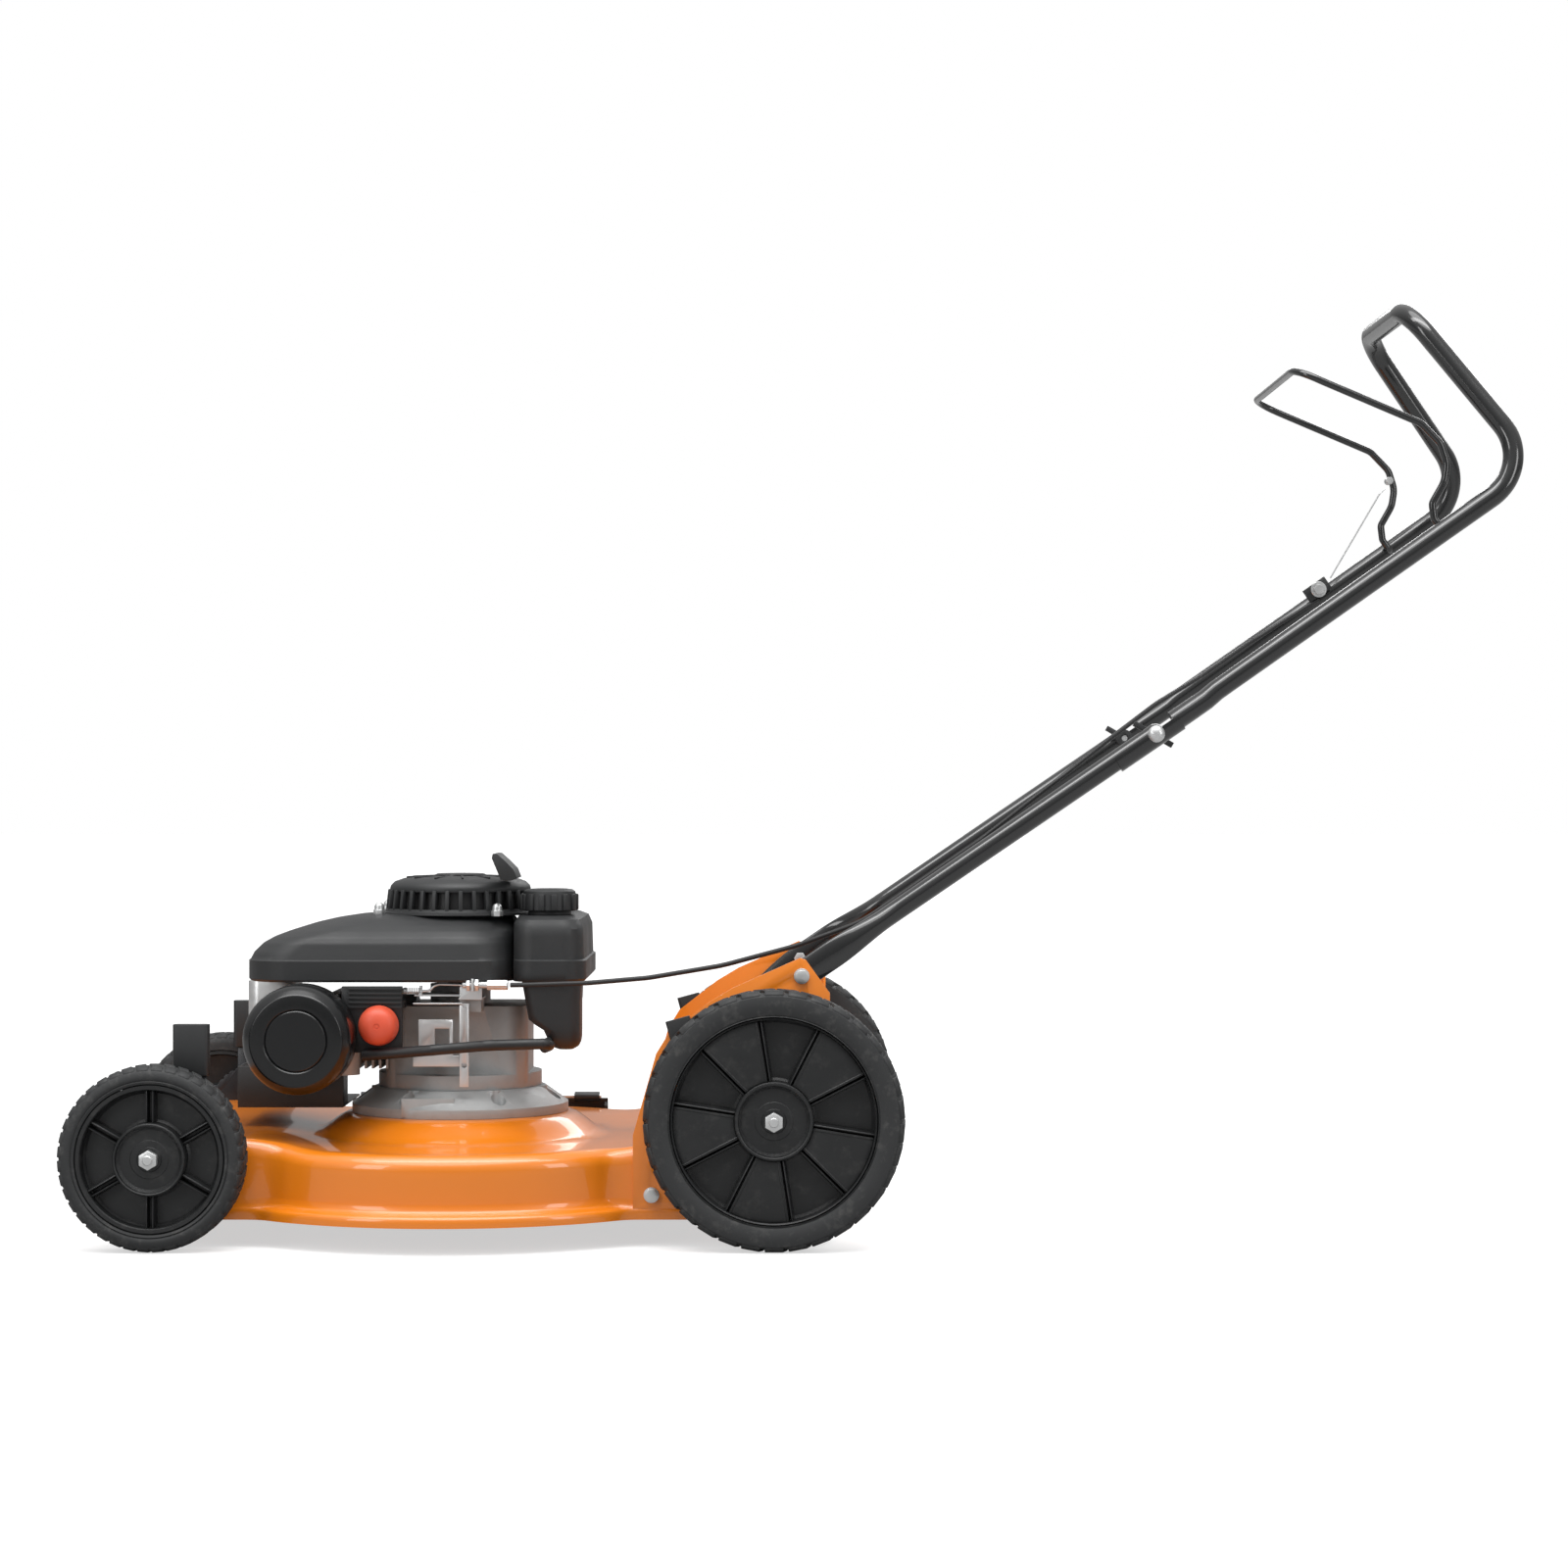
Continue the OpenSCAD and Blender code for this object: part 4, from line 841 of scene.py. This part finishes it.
def upper_loop():
    """The upper handle: its bent tube, the two fold channels and the fold bolts."""
    # short lead-ins so that the tube narrows out of the fold channel
    first = [along_low(d, -HANDLE_Y) for d in (0.024, 0.034, 0.044, 0.054, 0.066)]
    last = [along_low(d, HANDLE_Y) for d in (0.066, 0.054, 0.044, 0.034, 0.024)]
    whole = densify(first + bent_loop() + last, 0.014)
    total = sum((b - a).length for a, b in zip(whole, whole[1:]))

    def section(share):
        far = min(share, 1 - share) * total
        t = smooth_step(far, 0.004, 0.075)
        return 0.0136 + (TUBE_R - 0.0136) * t, 0.0118 + (TUBE_R - 0.0118) * t
    arms = [tube("loop", whole, TUBE_R, TUBE_COAT, 32, section)]
    for s in (-1, 1):
        # pressed channel that the lower tube lies in, open upwards
        rings = []
        for d in (-0.052, -0.0505, -0.040, -0.020, 0.0, 0.014, 0.024, 0.030):
            reach = 205 if d < -0.04 else 200
            spread = [math.radians(-90 - reach / 2 + reach * k / 20) for k in range(21)]
            outer = [(CHANNEL_R * math.cos(a), CHANNEL_R * math.sin(a)) for a in spread]
            inside = [(0.0116 * math.cos(a), 0.0116 * math.sin(a)) for a in reversed(spread)]
            rings.append([tuple(along_low(d, s * HANDLE_Y + u, v)) for u, v in outer + inside])
        arms.append(stacked("channel", rings, TUBE_COAT, 40.0))
        # domed head of the fold bolt on the outside, its shank across the tube
        y = s * (HANDLE_Y + 0.0135)
        head = [(0.0, 0.0062), (0.003, 0.0060), (0.006, 0.0050), (0.0082, 0.0032), (0.0092, 0.0010),
                (0.0090, 0.0), (0.0, 0.0)]
        arms.append(lathe("head", head, (FOLD[0], y, FOLD[1]), ZINC, "Y", 48, s))
        arms.append(lathe("shank", [(0.0, 0.0), (0.0039, 0.0), (0.0039, 0.038), (0.0034, 0.0385),
                                    (0.0, 0.0385)], (FOLD[0], y, FOLD[1]), ZINC, "Y", 32, -s))
    return attach(join("upper_loop_tube", *arms), "handle_top", "upper_handle")


def stop_bail():
    """The engine-stop bail, a rod bent to the handle's shape."""
    side = [(0.703, 0.774), (0.694, 0.786), (0.692, 0.803), (0.705, 0.826), (0.708, 0.846),
            (0.701, 0.868), (0.680, 0.890), (0.572, 0.936), (0.543, 0.949)]
    radii = [0.005, 0.008, 0.008, 0.030, 0.030, 0.020, 0.020, 0.030, 0.026]
    y = BAIL_Y
    points = [(side[0][0], -y - 0.012, side[0][1])]
    points += [(x, -y, z) for x, z in side]
    points += [(x, y, z) for x, z in reversed(side)]
    points += [(side[0][0], y + 0.012, side[0][1])]
    path = densify(rounded_path(points, radii + radii[::-1], 0.002), 0.012)
    return attach(tube("bail_rod", path, ROD_R, TUBE_COAT, 20), "stop_bail", "bail")


# the brake cable's route, from its bracket on the handle to the engine
CABLE = [(0.618, 0.160, 0.716), (0.541, 0.151, 0.668), (0.472, 0.060, 0.625), (0.405, -0.040, 0.588),
         (0.343, -0.110, 0.545), (0.293, -0.152, 0.508), (0.200, -0.158, 0.436), (0.136, -0.158, 0.392),
         (0.072, -0.160, 0.348), (0.002, -0.152, 0.322), (-0.080, -0.150, 0.300), (-0.161, -0.140, 0.286),
         (-0.227, -0.134, 0.280), (-0.291, -0.124, 0.2775), (-0.313, -0.1202, 0.277)]


def brake_cable():
    """The brake cable's sheath."""
    path = densify(rounded_path(CABLE, [0.060, 0.080, 0.080, 0.080, 0.060, 0.120, 0.120, 0.120, 0.120,
                                        0.150, 0.150, 0.150, 0.120, 0.060], 0.006), 0.012)
    return attach(tube("cable_sheath", path, SHEATH_R, HOSE, 16), "deck", "brake_cable")


lower_tube("lower_handle_left_tube", "deck", -1)
lower_tube("lower_handle_right_tube", "deck", 1)
upper_loop()
stop_bail()
brake_cable()


def hexagon(name, spot, radius, height, axis, material):
    """A hexagon nut or head with turned corners, its near face at spot."""
    corner = radius * 0.93
    profile = [(0.0, 0.0), (corner, 0.0), (radius, height * 0.12), (radius, height * 0.88),
               (corner, height), (0.0, height)]
    return lathe(name, profile, spot, material, axis, 6, 1, 20.0)


def turned(name, spot, radius, height, axis, material):
    """A turned pin or washer with small chamfers."""
    c = min(radius, height) * 0.18
    return lathe(name, [(0.0, 0.0), (radius - c, 0.0), (radius, c), (radius, height - c),
                        (radius - c, height), (0.0, height)], spot, material, axis, 48, 1, 30.0)


def brake_rigging():
    """Threaded ferrule, link rod and return spring at the brake cable's end."""
    y, z, cable_y = -0.1145, CABLE_END_Z, CABLE_END_Y
    parts = [hexagon("ferrule", (-0.3385, cable_y, z), 0.0062, 0.022, "X", ZINC),
             hexagon("lock_nut", (-0.352, cable_y, z), 0.0072, 0.0042, "X", ZINC),
             hexagon("lock_nut", (-0.3615, cable_y, z), 0.0072, 0.0042, "X", ZINC),
             turned("adjuster", (-0.366, cable_y, z), 0.0036, 0.030, "X", ZINC)]
    rod = [(-0.350, y, z - 0.0005), (-0.392, y, z + 0.0005), (-0.397, y, z - 0.001),
           (-0.403, y, z - 0.0065), (-0.410, y, z - 0.007)]
    parts.append(tube("link", densify(rounded_path(rod, [0.004] * 3, 0.001), 0.004), 0.0014, ZINC, 12))
    coil = []
    turns, first, last = 22, -0.452, -0.411
    for k in range(turns * 12 + 1):
        a = 2 * math.pi * k / 12
        coil.append(Vector((first + (last - first) * k / (turns * 12), y + 0.0030 * math.cos(a),
                            0.2702 + 0.0030 * math.sin(a))))
    parts.append(tube("spring", coil, 0.00055, ZINC, 6))
    piece = join("brake_rigging", *parts)
    return attach(piece, "deck")


def cable_clamps():
    """The screw of the cable's bracket, and the clamp that holds its bare wire on the bail."""
    y = 0.1555
    lower = join("bracket_screw", turned("washer", (0.617, y - 0.0050, 0.727), 0.0092, 0.0020, "Y", ZINC),
                 hexagon("head", (0.617, y - 0.0092, 0.727), 0.0062, 0.0045, "Y", ZINC))
    attach(lower, "handle_top")
    upper = join("wire_screw", turned("clamp", (0.7015, 0.1575, 0.8555), 0.0044, 0.0130, "Y", ZINC),
                 hexagon("head", (0.7015, 0.1545, 0.8555), 0.0046, 0.0032, "Y", ZINC))
    attach(upper, "stop_bail")


def axle_ends():
    """The threaded end of each axle bolt, standing out of its nut."""
    for key, (x, z, s) in SIDES.items():
        spot = (x, s * 0.2730 if s < 0 else 0.2690, z)
        end = turned("axle_end_" + key, spot, 0.0052, 0.0040, "Y", ZINC)
        attach(end, "arm_" + key)


brake_rigging()
cable_clamps()
axle_ends()


# ---------------------------------------------------------------- carried nodes with rounded edges
NODE_FINISHES = {
    ENAMEL: ("rear_bracket_left", "rear_bracket_right"),
    SPRING_STEEL: ("index_plates", "lever_fl", "lever_fr", "lever_rl", "lever_rr"),
    MOULDED: ("side_door", "grip_fl", "grip_fr", "grip_rl", "grip_rr", "air_guide", "primer_panel",
              "dipstick", "starter_grip", "wing_nut_left", "wing_nut_right", "cable_bracket"),
    ZINC: ("door_hinge", "frame_bolts", "engine_fasteners", "governor_bracket", "governor_lever",
           "cable_tab", "brake_lever", "muffler", "cable_wire"),
    CASTING: ("sump", "engine_block", "piston", "carburetor", "flywheel"),
    FORGED: ("crankshaft", "blade", "blade_adapter"),
    CERAMIC: ("spark_plug",),
    NATURAL: ("rope_pulley",),
    HOSE: ("fuel_hose",),
}
for material, names in NODE_FINISHES.items():
    for node in names:
        dress_node(node, material)

# the axle bolts and their nuts are zinc plated
for key in SIDES:
    shape = bpy.data.objects["lever_%s_shape" % key]
    shape.data.materials.append(ZINC)
    for face in shape.data.polygons:
        if abs(face.center.y) > LEVER_FACE_Y:
            face.material_index = 1

# ---------------------------------------------------------------- stage
floor = make("floor", [(-30, -12, 0), (30, -12, 0), (30, 30, 0), (-30, 30, 0)], [(0, 1, 2, 3)], FLOOR)

world = bpy.data.worlds.new("studio")
bpy.context.scene.world = world
world.use_nodes = True
tree = world.node_tree
tree.nodes.clear()
# a white backdrop seen directly, and a dimmer room for everything that it lights
seen = add(tree, "ShaderNodeBackground", {"Color": (1, 1, 1, 1), "Strength": 1.0})
# the room is dark around the walls and bright overhead
up = add(tree, "ShaderNodeSeparateXYZ", Vector=add(tree, "ShaderNodeTexCoord").outputs["Generated"])
level = add(tree, "ShaderNodeMapRange", {"From Min": -0.1, "From Max": 0.9, "To Min": 0.16,
                                         "To Max": 0.85}, Value=up.outputs["Z"])
room = add(tree, "ShaderNodeBackground", {"Color": (1, 1, 1, 1)}, Strength=level.outputs[0])
ray = add(tree, "ShaderNodeLightPath")
both = add(tree, "ShaderNodeMixShader", i0=ray.outputs["Is Camera Ray"], i1=room.outputs[0],
           i2=seen.outputs[0])
add(tree, "ShaderNodeOutputWorld", i0=both.outputs[0])

sun = bpy.data.lights.new("ceiling", "SUN")
sun.energy = 2.1
sun.angle = math.radians(60)
lamp = bpy.data.objects.new("ceiling", sun)
lamp.rotation_euler = (math.radians(18), 0, math.radians(-12))
bpy.context.collection.objects.link(lamp)


def soft_light(name, spot, target, size, power):
    """A rectangular lamp at spot that shines at target."""
    light = bpy.data.lights.new(name, "AREA")
    light.shape = "RECTANGLE"
    light.size, light.size_y = size
    light.energy = power
    lamp = bpy.data.objects.new(name, light)
    lamp.location = spot
    lamp.rotation_euler = (Vector(target) - Vector(spot)).to_track_quat("-Z", "Y").to_euler()
    bpy.context.collection.objects.link(lamp)


soft_light("overhead", (-0.1, -0.9, 2.6), (-0.1, 0, 0.3), (3.2, 0.5), 26)
soft_light("front_left", (-2.4, -2.6, 1.5), (-0.3, 0, 0.3), (0.9, 1.6), 20)
soft_light("front_right", (2.6, -2.4, 1.4), (0.2, 0, 0.4), (0.7, 1.6), 16)
soft_light("back", (1.2, 2.6, 2.0), (0, 0, 0.4), (2.4, 0.7), 22)

camera = bpy.data.cameras.new("camera")
camera.sensor_width = 36.0
camera.lens = LENS
view = bpy.data.objects.new("camera", camera)
view.location = CAMERA
view.rotation_euler = (math.radians(90), 0, 0)
bpy.context.collection.objects.link(view)
bpy.context.scene.camera = view
bpy.context.scene.view_settings.view_transform = "Standard"
